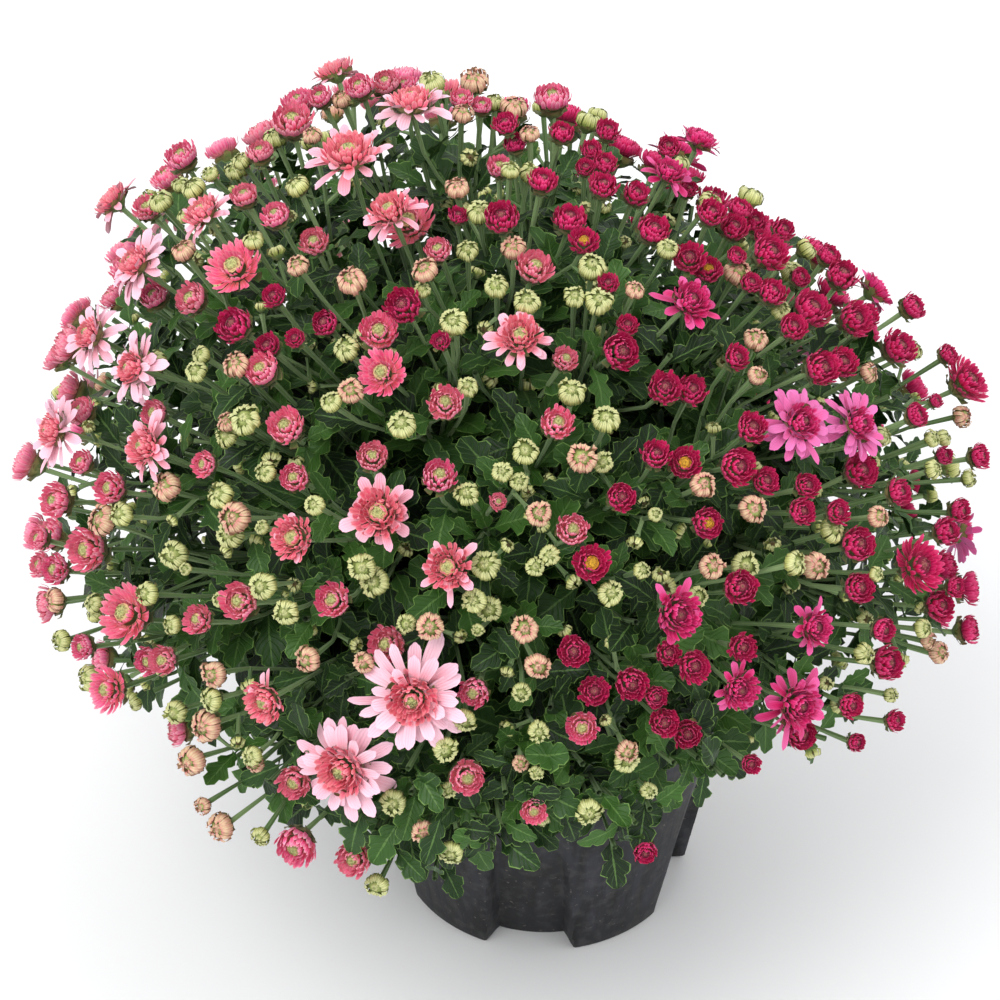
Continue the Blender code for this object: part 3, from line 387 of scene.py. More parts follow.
# Petals by name: stops from base to tip, vein, rim and pale tint, their shares with the spread, and the veins
PETAL_LOOKS = (
    ("salmon_ray", (
        (0.0, 216, 60, 82), (0.22, 234, 104, 118), (0.48, 242, 142, 158), (0.78, 246, 172, 190),
        (1.0, 246, 190, 210),
    ), (226, 110, 136), (250, 216, 228), (251, 224, 238), (0.64, 0.42, 0.55, 0.05), 5.0),
    ("crimson_ray", (
        (0.0, 150, 6, 66), (0.30, 196, 10, 82), (0.65, 210, 24, 102), (1.0, 224, 66, 136),
    ), (170, 8, 82), (234, 110, 176), (240, 138, 204), (0.72, 0.40, 0.70, 0.07), 5.0),
    ("salmon_short_petal", (
        (0.0, 214, 156, 112), (0.22, 242, 124, 136), (0.50, 244, 78, 142), (0.80, 250, 122, 168),
        (1.0, 253, 190, 204),
    ), (222, 40, 104), (252, 178, 198), (252, 160, 162), (0.512, 0.62, 0.40, 0.07), 2.0),
    ("crimson_short_petal", (
        (0.0, 136, 34, 58), (0.35, 186, 4, 74), (0.75, 218, 20, 98), (1.0, 242, 92, 148),
    ), (138, 2, 54), (238, 78, 138), (228, 48, 116), (0.72, 0.55, 0.34, 0.08), 2.0),
    ("salmon_button", (
        (0.0, 232, 88, 112), (0.40, 244, 94, 134), (0.80, 249, 132, 158), (1.0, 252, 182, 184),
    ), (224, 42, 88), (252, 180, 186), (250, 160, 154), (0.56, 0.68, 0.34, 0.05), 2.0),
    ("crimson_button", (
        (0.0, 170, 4, 72), (0.40, 204, 8, 90), (0.80, 226, 34, 116), (1.0, 244, 116, 172),
    ), (160, 2, 70), (240, 98, 160), (232, 70, 140), (0.64, 0.58, 0.34, 0.06), 2.0),
)

# Middles by name: stops from edge to centre, the speck, and a bright yellow for the last columns
SPECKLED_LOOKS = (
    ("salmon_disc", ((0.0, 222, 190, 140), (0.5, 206, 206, 138), (1.0, 182, 184, 116)), (120, 96, 62), None),
    ("crimson_disc", (
        (0.0, 120, 10, 52), (0.6, 150, 40, 74), (1.0, 176, 120, 100),
    ), (90, 8, 40), (234, 180, 52)),
    ("bud_core", ((0.0, 120, 138, 66), (0.7, 150, 162, 88), (1.0, 176, 184, 120)), (96, 110, 52), None),
)


def unit(vectors):
    return vectors / np.maximum(np.linalg.norm(vectors, axis=-1, keepdims=True), 1e-12)


def colour(red, green, blue):
    """Linear colour of display values from 0 to 255."""
    shown = np.array((red, green, blue)) / 255.0
    linear = np.where(shown <= 0.04045, shown / 12.92, ((shown + 0.055) / 1.055) ** 2.4)
    return (*(float(value) for value in linear), 1.0)


# Node trees of the materials


def put(socket, value):
    """Links a socket to another one, or sets its value; a tuple is a display colour."""
    if isinstance(value, bpy.types.NodeSocket):
        socket.id_data.links.new(value, socket)
    elif isinstance(value, tuple):
        socket.default_value = colour(*value)
    else:
        socket.default_value = value


def new_node(kind, *values):
    """A node beside those that the values come from, with the values as its first inputs."""
    tree = next(value.id_data for value in values if isinstance(value, bpy.types.NodeSocket))
    made = tree.nodes.new("ShaderNode" + kind)
    for socket, value in zip(made.inputs, values):
        put(socket, value)
    return made


def math_node(operation, first, second=0.0, third=0.0, clamp=False):
    made = new_node("Math", first, second, third)
    made.operation = operation
    made.use_clamp = clamp
    return made.outputs[0]


def times(first, second, clamp=False):
    return math_node("MULTIPLY", first, second, clamp=clamp)


def ramp(factor, stops):
    """A ramp through stops, each a place and a display colour."""
    made = new_node("ValToRGB", factor)
    elements = made.color_ramp.elements
    while len(elements) < len(stops):
        elements.new(0.5)
    for element, (place, *shade) in zip(elements, stops):
        element.position = place
        element.color = colour(*shade)
    return made.outputs[0]


def rising(factor, low, high):
    """0 up to the low value, 1 from the high one."""
    return ramp(factor, ((low, 0, 0, 0), (high, 255, 255, 255)))


def mix(factor, first, second):
    made = new_node("Mix", factor)
    made.data_type = "RGBA"
    put(made.inputs[6], first)
    put(made.inputs[7], second)
    return made.outputs[2]


def noise(place, scale, detail=3.0):
    made = new_node("TexNoise", place)
    made.inputs["Scale"].default_value = scale
    made.inputs["Detail"].default_value = detail
    return made.outputs["Fac"]


def shader_of(material):
    return material.node_tree.nodes["Principled BSDF"]


def new_material(name, roughness, sheen=0.0):
    made = bpy.data.materials.new(name)
    made.use_nodes = True
    shader = shader_of(made)
    shader.inputs["Roughness"].default_value = roughness
    shader.inputs["Specular IOR Level"].default_value = SPECULAR
    shader.inputs["Sheen Weight"].default_value = sheen
    return made, made.node_tree


def finished(material, shade, height, distance, strength=0.6):
    """Gives a material its colour, and a bump over a distance in metres."""
    shader = shader_of(material)
    put(shader.inputs["Base Color"], shade)
    bump = material.node_tree.nodes.new("ShaderNodeBump")
    bump.inputs["Strength"].default_value = strength
    bump.inputs["Distance"].default_value = distance
    put(bump.inputs["Height"], height)
    put(shader.inputs["Normal"], bump.outputs[0])
    return material


def tint_places(tree):
    """Sockets: place across in its column, place along, number of the column, and the whole place."""
    place = tree.nodes.new("ShaderNodeUVMap")
    place.uv_map = "tint"
    split = new_node("SeparateXYZ", place.outputs[0])
    across = math_node("FRACT", split.outputs[0])
    column = math_node("FLOOR", split.outputs[0])
    return across, split.outputs[1], column, place.outputs[0]


def from_middle(across):
    """0 along the middle of the petal, 1 at its sides."""
    return math_node("ABSOLUTE", math_node("MULTIPLY_ADD", across, 2.0, -1.0))


def ribs(across, count):
    """A wave across the petal between 0 and 1."""
    phase = times(across, TAU * count)
    return math_node("MULTIPLY_ADD", math_node("COSINE", phase), 0.5, 0.5)


def column_tint(shade, column, spread):
    """The shade a little darker or lighter in each column."""
    draw = column.id_data.nodes.new("ShaderNodeTexWhiteNoise")
    draw.noise_dimensions = "1D"
    put(draw.inputs["W"], math_node("ADD", column, TINT_SEED))
    amount = math_node("MULTIPLY_ADD", draw.outputs["Value"], 2.0 * spread, 1.0 - spread)
    scaled = new_node("VectorMath", shade)
    scaled.operation = "SCALE"
    put(scaled.inputs[3], amount)
    return scaled.outputs[0]


def petal_material(name, stops, vein, rim, pale, shares, veins):
    """A petal: a ramp from base to tip, fine lengthwise veins, a rim, and paler tints by column."""
    vein_share, rim_share, pale_share, spread = shares
    made, tree = new_material(name, 0.5, PETAL_SHEEN)
    across, along, column, place = tint_places(tree)
    wave = ribs(across, veins)
    grain = times(wave, noise(place, 14.0))
    shade = mix(times(grain, vein_share), ramp(along, stops), vein)
    edge = math_node("POWER", from_middle(across), 2.4)
    shade = mix(times(edge, rim_share), shade, rim)
    shade = mix(times(column, pale_share / (COLUMNS - 1.0)), shade, pale)
    return finished(made, column_tint(shade, column, spread), wave, 0.0002)


def bud_material():
    """Cream bud petals, green at the base; the last two columns blush pink."""
    made, tree = new_material("bud_cream", 0.5, PETAL_SHEEN)
    across, along, column, place = tint_places(tree)
    cream = ramp(along, (
        (0.0, 96, 126, 50), (0.22, 150, 168, 80), (0.5, 196, 200, 118), (0.80, 220, 220, 158),
        (1.0, 196, 200, 140),
    ))
    blush = ramp(along, (
        (0.0, 140, 140, 74), (0.25, 212, 170, 126), (0.55, 232, 168, 154), (0.80, 238, 206, 172),
        (1.0, 222, 116, 130),
    ))
    is_blush = math_node("GREATER_THAN", column, SPECIAL_FROM)
    line = mix(is_blush, (112, 130, 58), (206, 92, 96))
    patch = times(is_blush, noise(place, 3.0))
    shade = mix(times(patch, 1.5, clamp=True), cream, blush)
    middle = math_node("SUBTRACT", 1.0, from_middle(across))
    crease = math_node("POWER", middle, 7.0)
    shade = mix(times(crease, 0.55), shade, line)
    edge = math_node("POWER", from_middle(across), 4.0)
    shade = mix(times(edge, 0.60), shade, line)
    return finished(made, column_tint(shade, column, 0.08), ribs(across, 2.0), 0.0003)


def speckled_material(name, stops, speck, yellow):
    """The middle of a head: tiny florets as specks; its last two columns may be a bright yellow."""
    made, tree = new_material(name, 0.65, DOWN_SHEEN)
    _, along, column, place = tint_places(tree)
    shade = ramp(along, stops)
    if yellow:
        shade = mix(math_node("GREATER_THAN", column, SPECIAL_FROM), shade, yellow)
    cells = new_node("TexVoronoi", place)
    cells.inputs["Scale"].default_value = 9.0
    dots = ramp(cells.outputs["Distance"], ((0.20, 255, 255, 255), (0.50, 0, 0, 0)))
    shade = mix(times(dots, 0.75), shade, speck)
    return finished(made, column_tint(shade, column, 0.10), cells.outputs["Distance"], 0.0006)


def bract_material():
    """Green bracts with a paler edge and a brown tip."""
    made, tree = new_material("bract_green", 0.6, DOWN_SHEEN)
    across, along, column, place = tint_places(tree)
    shade = ramp(along, (
        (0.0, 84, 112, 66), (0.5, 104, 128, 70), (0.85, 128, 120, 70), (1.0, 96, 62, 44),
    ))
    edge = math_node("POWER", from_middle(across), 4.0)
    shade = mix(times(edge, 0.6), shade, (150, 140, 92))
    return finished(made, column_tint(shade, column, 0.12), noise(place, 30.0), 0.0003)


def leaf_material():
    """Dark green blade, lighter or darker by tint column as painted light and shade, with a pale thin rim
    painted as a highlight, a pale midrib and slanting side veins.
    """
    made, tree = new_material("leaf_green", 0.48)
    across, along, column, place = tint_places(tree)
    # Painted light and shade: the tint column picks a lit or a shaded tone of the blade, and inner leaves
    # take the darkest columns as painted shade.
    depth = math_node("DIVIDE", column, COLUMNS - 1.0)
    shade = ramp(depth, ((0.0, 8, 15, 8), (0.2, 20, 38, 15), (0.5, 34, 64, 23), (1.0, 64, 104, 38)))
    blotch = noise(place, 6.0)
    shade = mix(times(blotch, 0.40), shade, (20, 44, 16))
    side = from_middle(across)
    phase = math_node("MULTIPLY_ADD", side, -0.16, along)
    wave = math_node("COSINE", times(phase, TAU * 9.0))
    vein = math_node("POWER", math_node("MULTIPLY_ADD", wave, 0.5, 0.5), 14.0)
    shade = mix(times(vein, 0.35), shade, (74, 112, 50))
    midrib = math_node("LESS_THAN", side, 0.07)
    shade = mix(times(midrib, 0.60), shade, (100, 134, 70))
    # A pale rim along the edge of the blade: a painted highlight.
    rim = math_node("GREATER_THAN", side, 0.87)
    shade = mix(times(rim, 0.60), shade, (124, 160, 80))
    return finished(made, shade, math_node("MULTIPLY_ADD", vein, -1.0, blotch), 0.0006)


def stalk_material():
    """Grey-green ribbed stalks with fine pale down, lighter or darker by tint column as painted light and
    shade.
    """
    made, tree = new_material("stalk_green", 0.6, 0.08)
    across, _, column, place = tint_places(tree)
    rib = ribs(across, 5.0)
    # Painted shade: low tint columns give the dark tone that stems deep in the foliage take.
    depth = math_node("DIVIDE", column, COLUMNS - 1.0)
    shade = ramp(depth, ((0.0, 34, 50, 26), (0.4, 88, 118, 66), (1.0, 136, 162, 108)))
    shade = mix(times(rib, 0.35), shade, (164, 186, 136))
    shade = mix(times(noise(place, 25.0), 0.3), shade, (84, 112, 70))
    return finished(made, shade, rib, 0.0003)


def object_places(tree):
    place = tree.nodes.new("ShaderNodeTexCoord")
    return place.outputs["Object"]


def stretched(place, scale):
    made = new_node("VectorMath", place)
    made.operation = "MULTIPLY"
    made.inputs[1].default_value = scale
    return made.outputs[0]


def pot_material():
    """Charcoal matte plastic with dry dust in patches, upright brush marks, scuffs and specks of soil."""
    made, tree = new_material("pot_plastic", 0.6)
    place = object_places(tree)
    patches = rising(noise(place, 16.0, 6.0), 0.40, 0.66)
    marks = noise(stretched(place, (150.0, 150.0, 9.0)), 1.0, 6.0)
    streaks = rising(marks, 0.38, 0.66)
    dust = times(math_node("MULTIPLY_ADD", patches, 0.8, 0.2), streaks)
    shade = mix(times(dust, 0.48), (7, 8, 11), (80, 81, 88))
    scuffs = rising(noise(place, 170.0, 5.0), 0.48, 0.70)
    shade = mix(times(scuffs, 0.16), shade, (104, 102, 100))
    specks = rising(noise(place, 420.0, 2.0), 0.68, 0.74)
    shade = mix(times(specks, 0.5), shade, (120, 112, 104))
    rough = math_node("MULTIPLY_ADD", dust, 0.35, 0.45)
    put(shader_of(made).inputs["Roughness"], rough)
    return finished(made, shade, math_node("ADD", specks, streaks), 0.0004, 0.35)


def soil_material():
    """Dark moist potting mix with paler bits."""
    made, tree = new_material("soil", 0.95)
    place = object_places(tree)
    shade = ramp(noise(place, 90.0, 8.0), (
        (0.30, 22, 15, 11), (0.50, 52, 36, 26), (0.66, 92, 68, 48), (0.80, 150, 132, 108),
    ))
    return finished(made, shade, noise(place, 160.0, 8.0), 0.004, 1.0)


# Meshes made of many small sheets and tubes


class Batch:
    """Grids of points, each a sheet or an open tube, joined in one mesh."""

    def __init__(self, materials, bands=WHOLE_MAP):
        """bands: low and high, the share of each material in the height of the bake map."""
        self.materials = materials
        self.bands = bands
        self.points = []
        self.tints = []
        self.bakes = []
        self.quads = []
        self.slots = []
        self.total = 0

    def add(self, grid, band, columns, across=None, along=None):
        """grid: sheets x rows x columns x 3. columns: the tint column of each sheet."""
        sheets, rows, width, _ = grid.shape
        across = np.linspace(0.0, 1.0, width) if across is None else across
        along = np.linspace(0.0, 1.0, rows) if along is None else along
        low, high = self.bands[band]
        inside = COLUMN_MARGIN + (1.0 - 2.0 * COLUMN_MARGIN) * across
        u = np.broadcast_to(columns[:, None, None] + inside[None, None, :], (sheets, rows, width))
        v = np.broadcast_to(along[None, :, None], (sheets, rows, width))
        self.tints.append(np.stack([u, v], -1).reshape(-1, 2))
        self.bakes.append(np.stack([u / COLUMNS, low + (high - low) * v], -1).reshape(-1, 2))
        number = np.arange(sheets * rows * width).reshape(sheets, rows, width) + self.total
        corners = (number[:, :-1, :-1], number[:, :-1, 1:], number[:, 1:, 1:], number[:, 1:, :-1])
        quads = np.stack(corners, -1).reshape(-1, 4)
        self.quads.append(quads)
        self.slots.append(np.full(len(quads), band))
        self.points.append(grid.reshape(-1, 3))
        self.total += sheets * rows * width

    def make(self, name):
        points = np.concatenate(self.points)
        quads = np.concatenate(self.quads)
        mesh = bpy.data.meshes.new(name)
        mesh.vertices.add(len(points))
        mesh.vertices.foreach_set("co", points.astype(np.float32).ravel())
        mesh.loops.add(quads.size)
        mesh.loops.foreach_set("vertex_index", quads.astype(np.int32).ravel())
        mesh.polygons.add(len(quads))
        mesh.polygons.foreach_set("loop_start", np.arange(0, quads.size, 4, dtype=np.int32))
        mesh.polygons.foreach_set("material_index", np.concatenate(self.slots).astype(np.int32))
        mesh.update(calc_edges=True)
        mesh.polygons.foreach_set("use_smooth", np.ones(len(quads), dtype=bool))
        for map_name, places in (("tint", self.tints), ("OFBake", self.bakes)):
            flat = np.concatenate(places)[quads.ravel()]
            mesh.uv_layers.new(name=map_name).data.foreach_set("uv", flat.astype(np.float32).ravel())
        for material in self.materials:
            mesh.materials.append(material)
        mesh.validate()
        made = bpy.data.objects.new(name, mesh)
        bpy.context.scene.collection.objects.link(made)
        return made


def drawn(draw, columns, count=1):
    """A tint column for each of some sheets. columns: the first, and the one after the last."""
    return draw.integers(*columns, count).astype(float)


def square_to(axis, turn):
    """Two unit vectors square to the axis and to each other, turned round it."""
    helper = UP if abs(axis[2]) < 0.9 else np.array((0.0, 1.0, 0.0))
    first = unit(np.cross(helper, axis))
    second = np.cross(axis, first)
    return first * math.cos(turn) + second * math.sin(turn), second * math.cos(turn) - first * math.sin(turn)


def petal_ring(
    draw, head, layer, crowd=1.0, spread=0.0, wild=0.06, rows=4, width=3, shift=0.0, shortest=1.0
):
    """One layer of petals round a head's axis, as a grid for each petal.

    A petal starts at its base radius and height, rises at an angle and bends by its curl. It
    widens towards its rounded tip, and its cup lifts its sides.
    """
    count, base_radius, base_height, length, petal_width, rise, curl, cup = layer
    radius = head["radius"]
    first, second = square_to(head["axis"], head["turn"] + shift)
    count = max(3, round(count * crowd))
    turns = TAU * np.arange(count) / count + draw.normal(0.0, wild * TAU / count * 2.0, count)
    out = np.cos(turns)[:, None] * first + np.sin(turns)[:, None] * second
    side = np.cross(out, head["axis"])
    lengths = radius * length * (1.0 + draw.normal(0.0, wild, count))
    lengths = lengths * draw.uniform(shortest, 1.0, count)
    widths = radius * petal_width * (1.0 + draw.normal(0.0, wild, count)) * 0.5
    starts = np.radians(rise * (1.0 - spread)) + draw.normal(0.0, wild * 2.0, count)
    bends = np.radians(curl * (1.0 - PETAL_UNCURL * spread)) + draw.normal(0.0, wild * 3.0, count)
    rolls = draw.normal(0.0, wild * 2.5, count)
    along = 1.0 - (1.0 - np.linspace(0.0, 1.0, rows)) ** PETAL_ROWS_TO_TIP
    middles = 0.5 * (along[1:] + along[:-1])
    angles = starts[:, None] + bends[:, None] * middles
    steps = np.diff(along) * lengths[:, None]
    outwards = np.concatenate([np.zeros((count, 1)), np.cumsum(np.cos(angles) * steps, 1)], 1)
    upwards = np.concatenate([np.zeros((count, 1)), np.cumsum(np.sin(angles) * steps, 1)], 1)
    here = starts[:, None] + bends[:, None] * along
    across = np.linspace(-1.0, 1.0, width)
    shape = PETAL_NECK + PETAL_SWELL * np.sin(np.pi * np.minimum(along / PETAL_WIDEST, 1.0) * 0.5)
    tip = np.clip((along - PETAL_TIP_FROM) / PETAL_TIP_LENGTH, 0.0, 1.0)
    shape = shape * np.sqrt(1.0 - PETAL_TIP_NARROWING * tip ** 2)
    pulled = PETAL_SIDE_PULL * (across ** 2)[None, :] * tip[:, None]
    half = widths[:, None] * shape
    axis = head["axis"]
    tangent = np.cos(here)[..., None] * out[:, None] + np.sin(here)[..., None] * axis
    normal = np.cos(here)[..., None] * axis - np.sin(here)[..., None] * out[:, None]
    centre = head["place"] + (radius * base_radius + outwards)[..., None] * out[:, None]
    centre = centre + (radius * base_height + upwards)[..., None] * axis
    leaning = np.cos(rolls)[:, None, None] * side[:, None] + np.sin(rolls)[:, None, None] * normal
    grid = centre[:, :, None] + (half[..., None] * across)[..., None] * leaning[:, :, None]
    grid = grid + (cup * half[..., None] * across ** 2)[..., None] * normal[:, :, None]
    grid = grid + (lengths[:, None, None] * pulled[None])[..., None] * tangent[:, :, None]
    return grid, along


def tube_grid(paths, radii):
    """Open tubes along paths (tubes x rings x 3) with the radii of their rings."""
    tangents = unit(np.gradient(paths, axis=1))
    upright = np.abs(tangents[:, -1, 2]) > 0.8
    helper = np.where(upright[:, None], np.array((1.0, 0.0, 0.0)), UP)[:, None]
    across = unit(np.cross(helper, tangents))
    beside = np.cross(tangents, across)
    angle = np.linspace(0.0, TAU, STALK_SIDES + 1)
    rings = np.cos(angle)[:, None] * across[:, :, None] + np.sin(angle)[:, None] * beside[:, :, None]
    return paths[:, :, None] + radii[..., None, None] * rings


def turned(head, outline, sides):
    """A turned shape on a head's axis: outline of (height, radius) in head radii."""
    heights = np.array([height for height, _ in outline]) * head["radius"]
    radii = np.array([radius for _, radius in outline]) * head["radius"]
    path = head["place"] + heights[:, None] * head["axis"]
    first, second = square_to(head["axis"], head["turn"])
    angle = np.linspace(0.0, TAU, sides + 1)
    rings = np.cos(angle)[:, None] * first + np.sin(angle)[:, None] * second
    return (path[:, None] + radii[:, None, None] * rings)[None]


# Where everything stands


def dome_radius(direction):
    upward = np.maximum(0.0, direction @ DOME_LEAN_UP)
    lean = 1.0 - DOME_LEAN * direction[..., 0] * upward
    level = 1.0 - np.maximum(0.0, direction[..., 2])
    front = 1.0 - DOME_FRONT_FLAT * np.maximum(0.0, -direction[..., 1]) * level
    under = 1.0 - DOME_UNDERCUT * np.maximum(0.0, -direction[..., 2])
    return DOME_RADIUS * lean * front * under


def reach_ratio(points):
    """How far out points are, as a share of the dome's reach there."""
    arms = points - DOME_CENTRE
    return np.linalg.norm(arms, axis=-1) / dome_radius(unit(arms))


def skirt_height(direction):
    flat = np.maximum(np.hypot(direction[..., 0], direction[..., 1]), 1e-9)
    right = direction[..., 0] / flat
    front_right = np.maximum(0.0, right) * np.maximum(0.0, -direction[..., 1] / flat)
    return np.radians(SKIRT_HEIGHT + SKIRT_RIGHT * right + SKIRT_FRONT_RIGHT * front_right)


def seen_place(across, down):
    """The point that shows at a place in the front view: on the dome, or just off its edge."""
    eye = VIEW_TARGET + VIEW_DISTANCE * VIEW_BACK
    sideways = (across - VIEW_UNITS / 2.0) * PIXEL
    upwards = (VIEW_UNITS / 2.0 - down) * PIXEL
    ray = unit(VIEW_TARGET + np.array((sideways, 0.0, 0.0)) + upwards * VIEW_UP - eye)
    depths = VIEW_DISTANCE - SEARCH_START + SEARCH_STEP * np.arange(SEARCH_STEPS)
    points = eye + depths[:, None] * ray
    ratios = reach_ratio(points)
    inside = np.nonzero(ratios < 1.0)[0]
    chosen = inside[0] if len(inside) else int(np.argmin(ratios))
    arm = unit(points[chosen] - DOME_CENTRE)
    stretch = min(max(float(ratios[chosen]), 1.0), SEEN_LIMIT)
    return DOME_CENTRE + stretch * dome_radius(arm) * arm


def head_axis(place, draw):
    """Heads look outwards and a little up to the light."""
    outward = unit(place - DOME_CENTRE)
    return unit(outward + HEAD_LIFT * UP + draw.normal(0.0, HEAD_TILT, 3))


def new_head(draw, plant, kind, place, radius, columns=PLAIN_COLUMNS, spread=0.0, rim=False):
    return {
        "plant": plant,
        "kind": kind,
        "place": place,
        "axis": head_axis(place, draw),
        "radius": radius,
        "turn": draw.uniform(0.0, TAU),
        "columns": columns,
        "spread": spread,
        "rim": rim,
    }


def bloom_heads():
    """The open blooms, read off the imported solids: middle, axis, radius and seat."""
    found = []
    for name in sorted(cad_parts):
        if "_bloom_" not in name:
            continue
        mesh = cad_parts[name].data
        points = np.empty(len(mesh.vertices) * 3, np.float32)
        mesh.vertices.foreach_get("co", points)
        points = np.unique(np.round(points.reshape(-1, 3).astype(float), 6), axis=0)
        centre = points.mean(0)
        _, _, axes = np.linalg.svd(points - centre)
        axis = axes[2] * (1.0 if axes[2] @ unit(centre - DOME_CENTRE) > 0.0 else -1.0)
        middle = centre + axis * ((points - centre) @ axis).min()
        arms = points - middle
        flat = arms - (arms @ axis)[:, None] * axis
        draw = np.random.default_rng(SEED + int(name[-2:]))
        bloom = new_head(draw, name.split("_")[0], "bloom", middle, np.linalg.norm(flat, axis=1).max())
        bloom["axis"] = axis
        bloom["node"] = name
        bloom["seat"] = middle
        found.append(bloom)
    return found


def fits(place, radius, heads, blooms):
    for other in heads:
        if np.linalg.norm(place - other["place"]) < HEAD_OVERLAP * (radius + other["radius"]):
            return False
    for bloom in blooms:
        middle = bloom["place"] + BLOOM_FACE * bloom["radius"] * bloom["axis"]
        if np.linalg.norm(place - middle) < BLOOM_OVERLAP * bloom["radius"] + radius:
            return False
    return True


def seen_heads(blooms):
    """Heads at the places where the front view shows them, moved back where two would meet."""
    eye = VIEW_TARGET + VIEW_DISTANCE * VIEW_BACK
    lists = (
        ("salmon", "head", SALMON_WIDE, PLAIN_COLUMNS, 0.55),
        ("crimson", "head", CRIMSON_WIDE, PLAIN_COLUMNS, 0.65),
        ("salmon", "head", SALMON_HALF_OPEN, PLAIN_COLUMNS, 0.0),
        ("crimson", "head", CRIMSON_HALF_OPEN, PLAIN_COLUMNS, 0.0),
        ("crimson", "head", CRIMSON_YELLOW_EYED, SPECIAL_COLUMNS, 0.1),
        (None, "bud", OPENING_BUDS, SPECIAL_COLUMNS, 0.0),
        (None, "bud", CREAM_BUDS, PLAIN_COLUMNS, 0.0),
    )
    heads = []
    for plant, kind, places, tints, spread in lists:
        for across, down, width in places:
            draw = np.random.default_rng(int(across + VIEW_UNITS * down))
            border = BORDER_ACROSS[0] + (BORDER_ACROSS[1] - BORDER_ACROSS[0]) * down / VIEW_UNITS
            owner = plant or ("salmon" if across < border else "crimson")
            place = seen_place(across, down)
            place = DOME_CENTRE + draw.uniform(*SEEN_REACH) * (place - DOME_CENTRE)
            away = unit(place - eye)
            depth = np.linalg.norm(place - eye)
            blushes = kind == "bud" and draw.random() < BLUSH_SHARE
            for _ in range(STEPS_BACK):
                radius = 0.5 * width * PIXEL * depth / VIEW_DISTANCE
                if fits(place, radius, heads, blooms):
                    break
                place = place + STEP_BACK * away
                depth += STEP_BACK
            columns = SPECIAL_COLUMNS if blushes else tints
            opening = spread + draw.uniform(0.0, SEEN_OPENING)
            head = new_head(draw, owner, kind, place, radius, columns, opening)
            head["axis"] = unit(head["axis"] + HEADS_TO_VIEW * VIEW_BACK)
            heads.append(head)
    return heads


def even_directions(count, draw):
    """Directions spread evenly over a sphere, each a little off its place."""
    for k in range(count):
        level = 1.0 - 2.0 * (k + 0.5) / count
        flat = math.sqrt(1.0 - level * level)
        direction = np.array((flat * math.cos(k * GOLDEN), flat * math.sin(k * GOLDEN), level))
        yield unit(direction + draw.normal(0.0, FAR_JITTER, 3))


def far_heads(heads, blooms):
    """An even, slightly ragged spread of heads over the side that the front view doesn't show."""
    draw = np.random.default_rng(SEED + 1)
    found = []
    for direction in even_directions(FAR_SPREAD, draw):
        kind = "bud" if draw.random() < FAR_BUD_SHARE else "head"
        radius = draw.uniform(*(FAR_BUD_RADIUS if kind == "bud" else FAR_HEAD_RADIUS))
        columns = SPECIAL_COLUMNS if draw.random() < FAR_BLUSH_SHARE else PLAIN_COLUMNS
        reach = draw.uniform(*FAR_REACH)
        border = FAR_BORDER_WANDER * draw.normal() + math.sin(BORDER_TURN) * max(0.0, -direction[1])
        owner = "salmon" if direction[0] < border else "crimson"
        if math.asin(direction[2]) < skirt_height(direction):
            continue
        place = DOME_CENTRE + reach * dome_radius(direction) * direction
        facing = direction @ VIEW_BACK
        nearest = min(np.linalg.norm(place - head["place"]) for head in heads)
        if facing > FAR_SIDE_THIN or (facing > FAR_SIDE and nearest < FAR_THIN_GAP):
            continue
        if fits(place, radius, heads + found, blooms):
            spread = draw.uniform(0.0, FAR_OPENING)
            found.append(new_head(draw, owner, kind, place, radius, columns, spread))
    return found


def leafy_shoots():
    """Shoots that end in a tuft of small leaves: those over the rim, and an even spread under the heads."""
    found = []
    for across, down in SHOOTS_SEEN:
        draw = np.random.default_rng(int(across + VIEW_UNITS * down))
        place = DOME_CENTRE + RIM_SHOOT_REACH * (seen_place(across, down) - DOME_CENTRE)
        owner = "salmon" if place[0] < 0.0 else "crimson"
        found.append(new_head(draw, owner, "shoot", place, 0.0, rim=True))
    draw = np.random.default_rng(SEED + 9)
    for direction in even_directions(SHOOT_SPREAD, draw):
        reach = draw.uniform(*SHOOT_REACH) * dome_radius(direction)
        if math.asin(direction[2]) > skirt_height(direction):
            owner = "salmon" if direction[0] < 0.0 else "crimson"
            found.append(new_head(draw, owner, "shoot", DOME_CENTRE + reach * direction, 0.0))
    return found


def grouped(heads):
    """Heads of one plant that are near each other grow from one stem."""
    groups = []
    for head in heads:
        best = None
        for group in groups:
            if group["plant"] != head["plant"] or len(group["heads"]) >= GROUP_SIZE:
                continue
            apart = np.linalg.norm(group["middle"] - head["place"])
            if apart < GROUP_REACH and (best is None or apart < best[0]):
                best = (apart, group)
        if best:
            group = best[1]
            group["heads"].append(head)
            group["middle"] = np.mean([one["place"] for one in group["heads"]], axis=0)
        else:
            groups.append({"plant": head["plant"], "heads": [head], "middle": head["place"].copy()})
    return groups


def curve(start, first, second, end, count):
    t = np.linspace(0.0, 1.0, count)[:, None]
    s = 1.0 - t
    return s ** 3 * start + 3.0 * s * s * t * first + 3.0 * s * t * t * second + t ** 3 * end


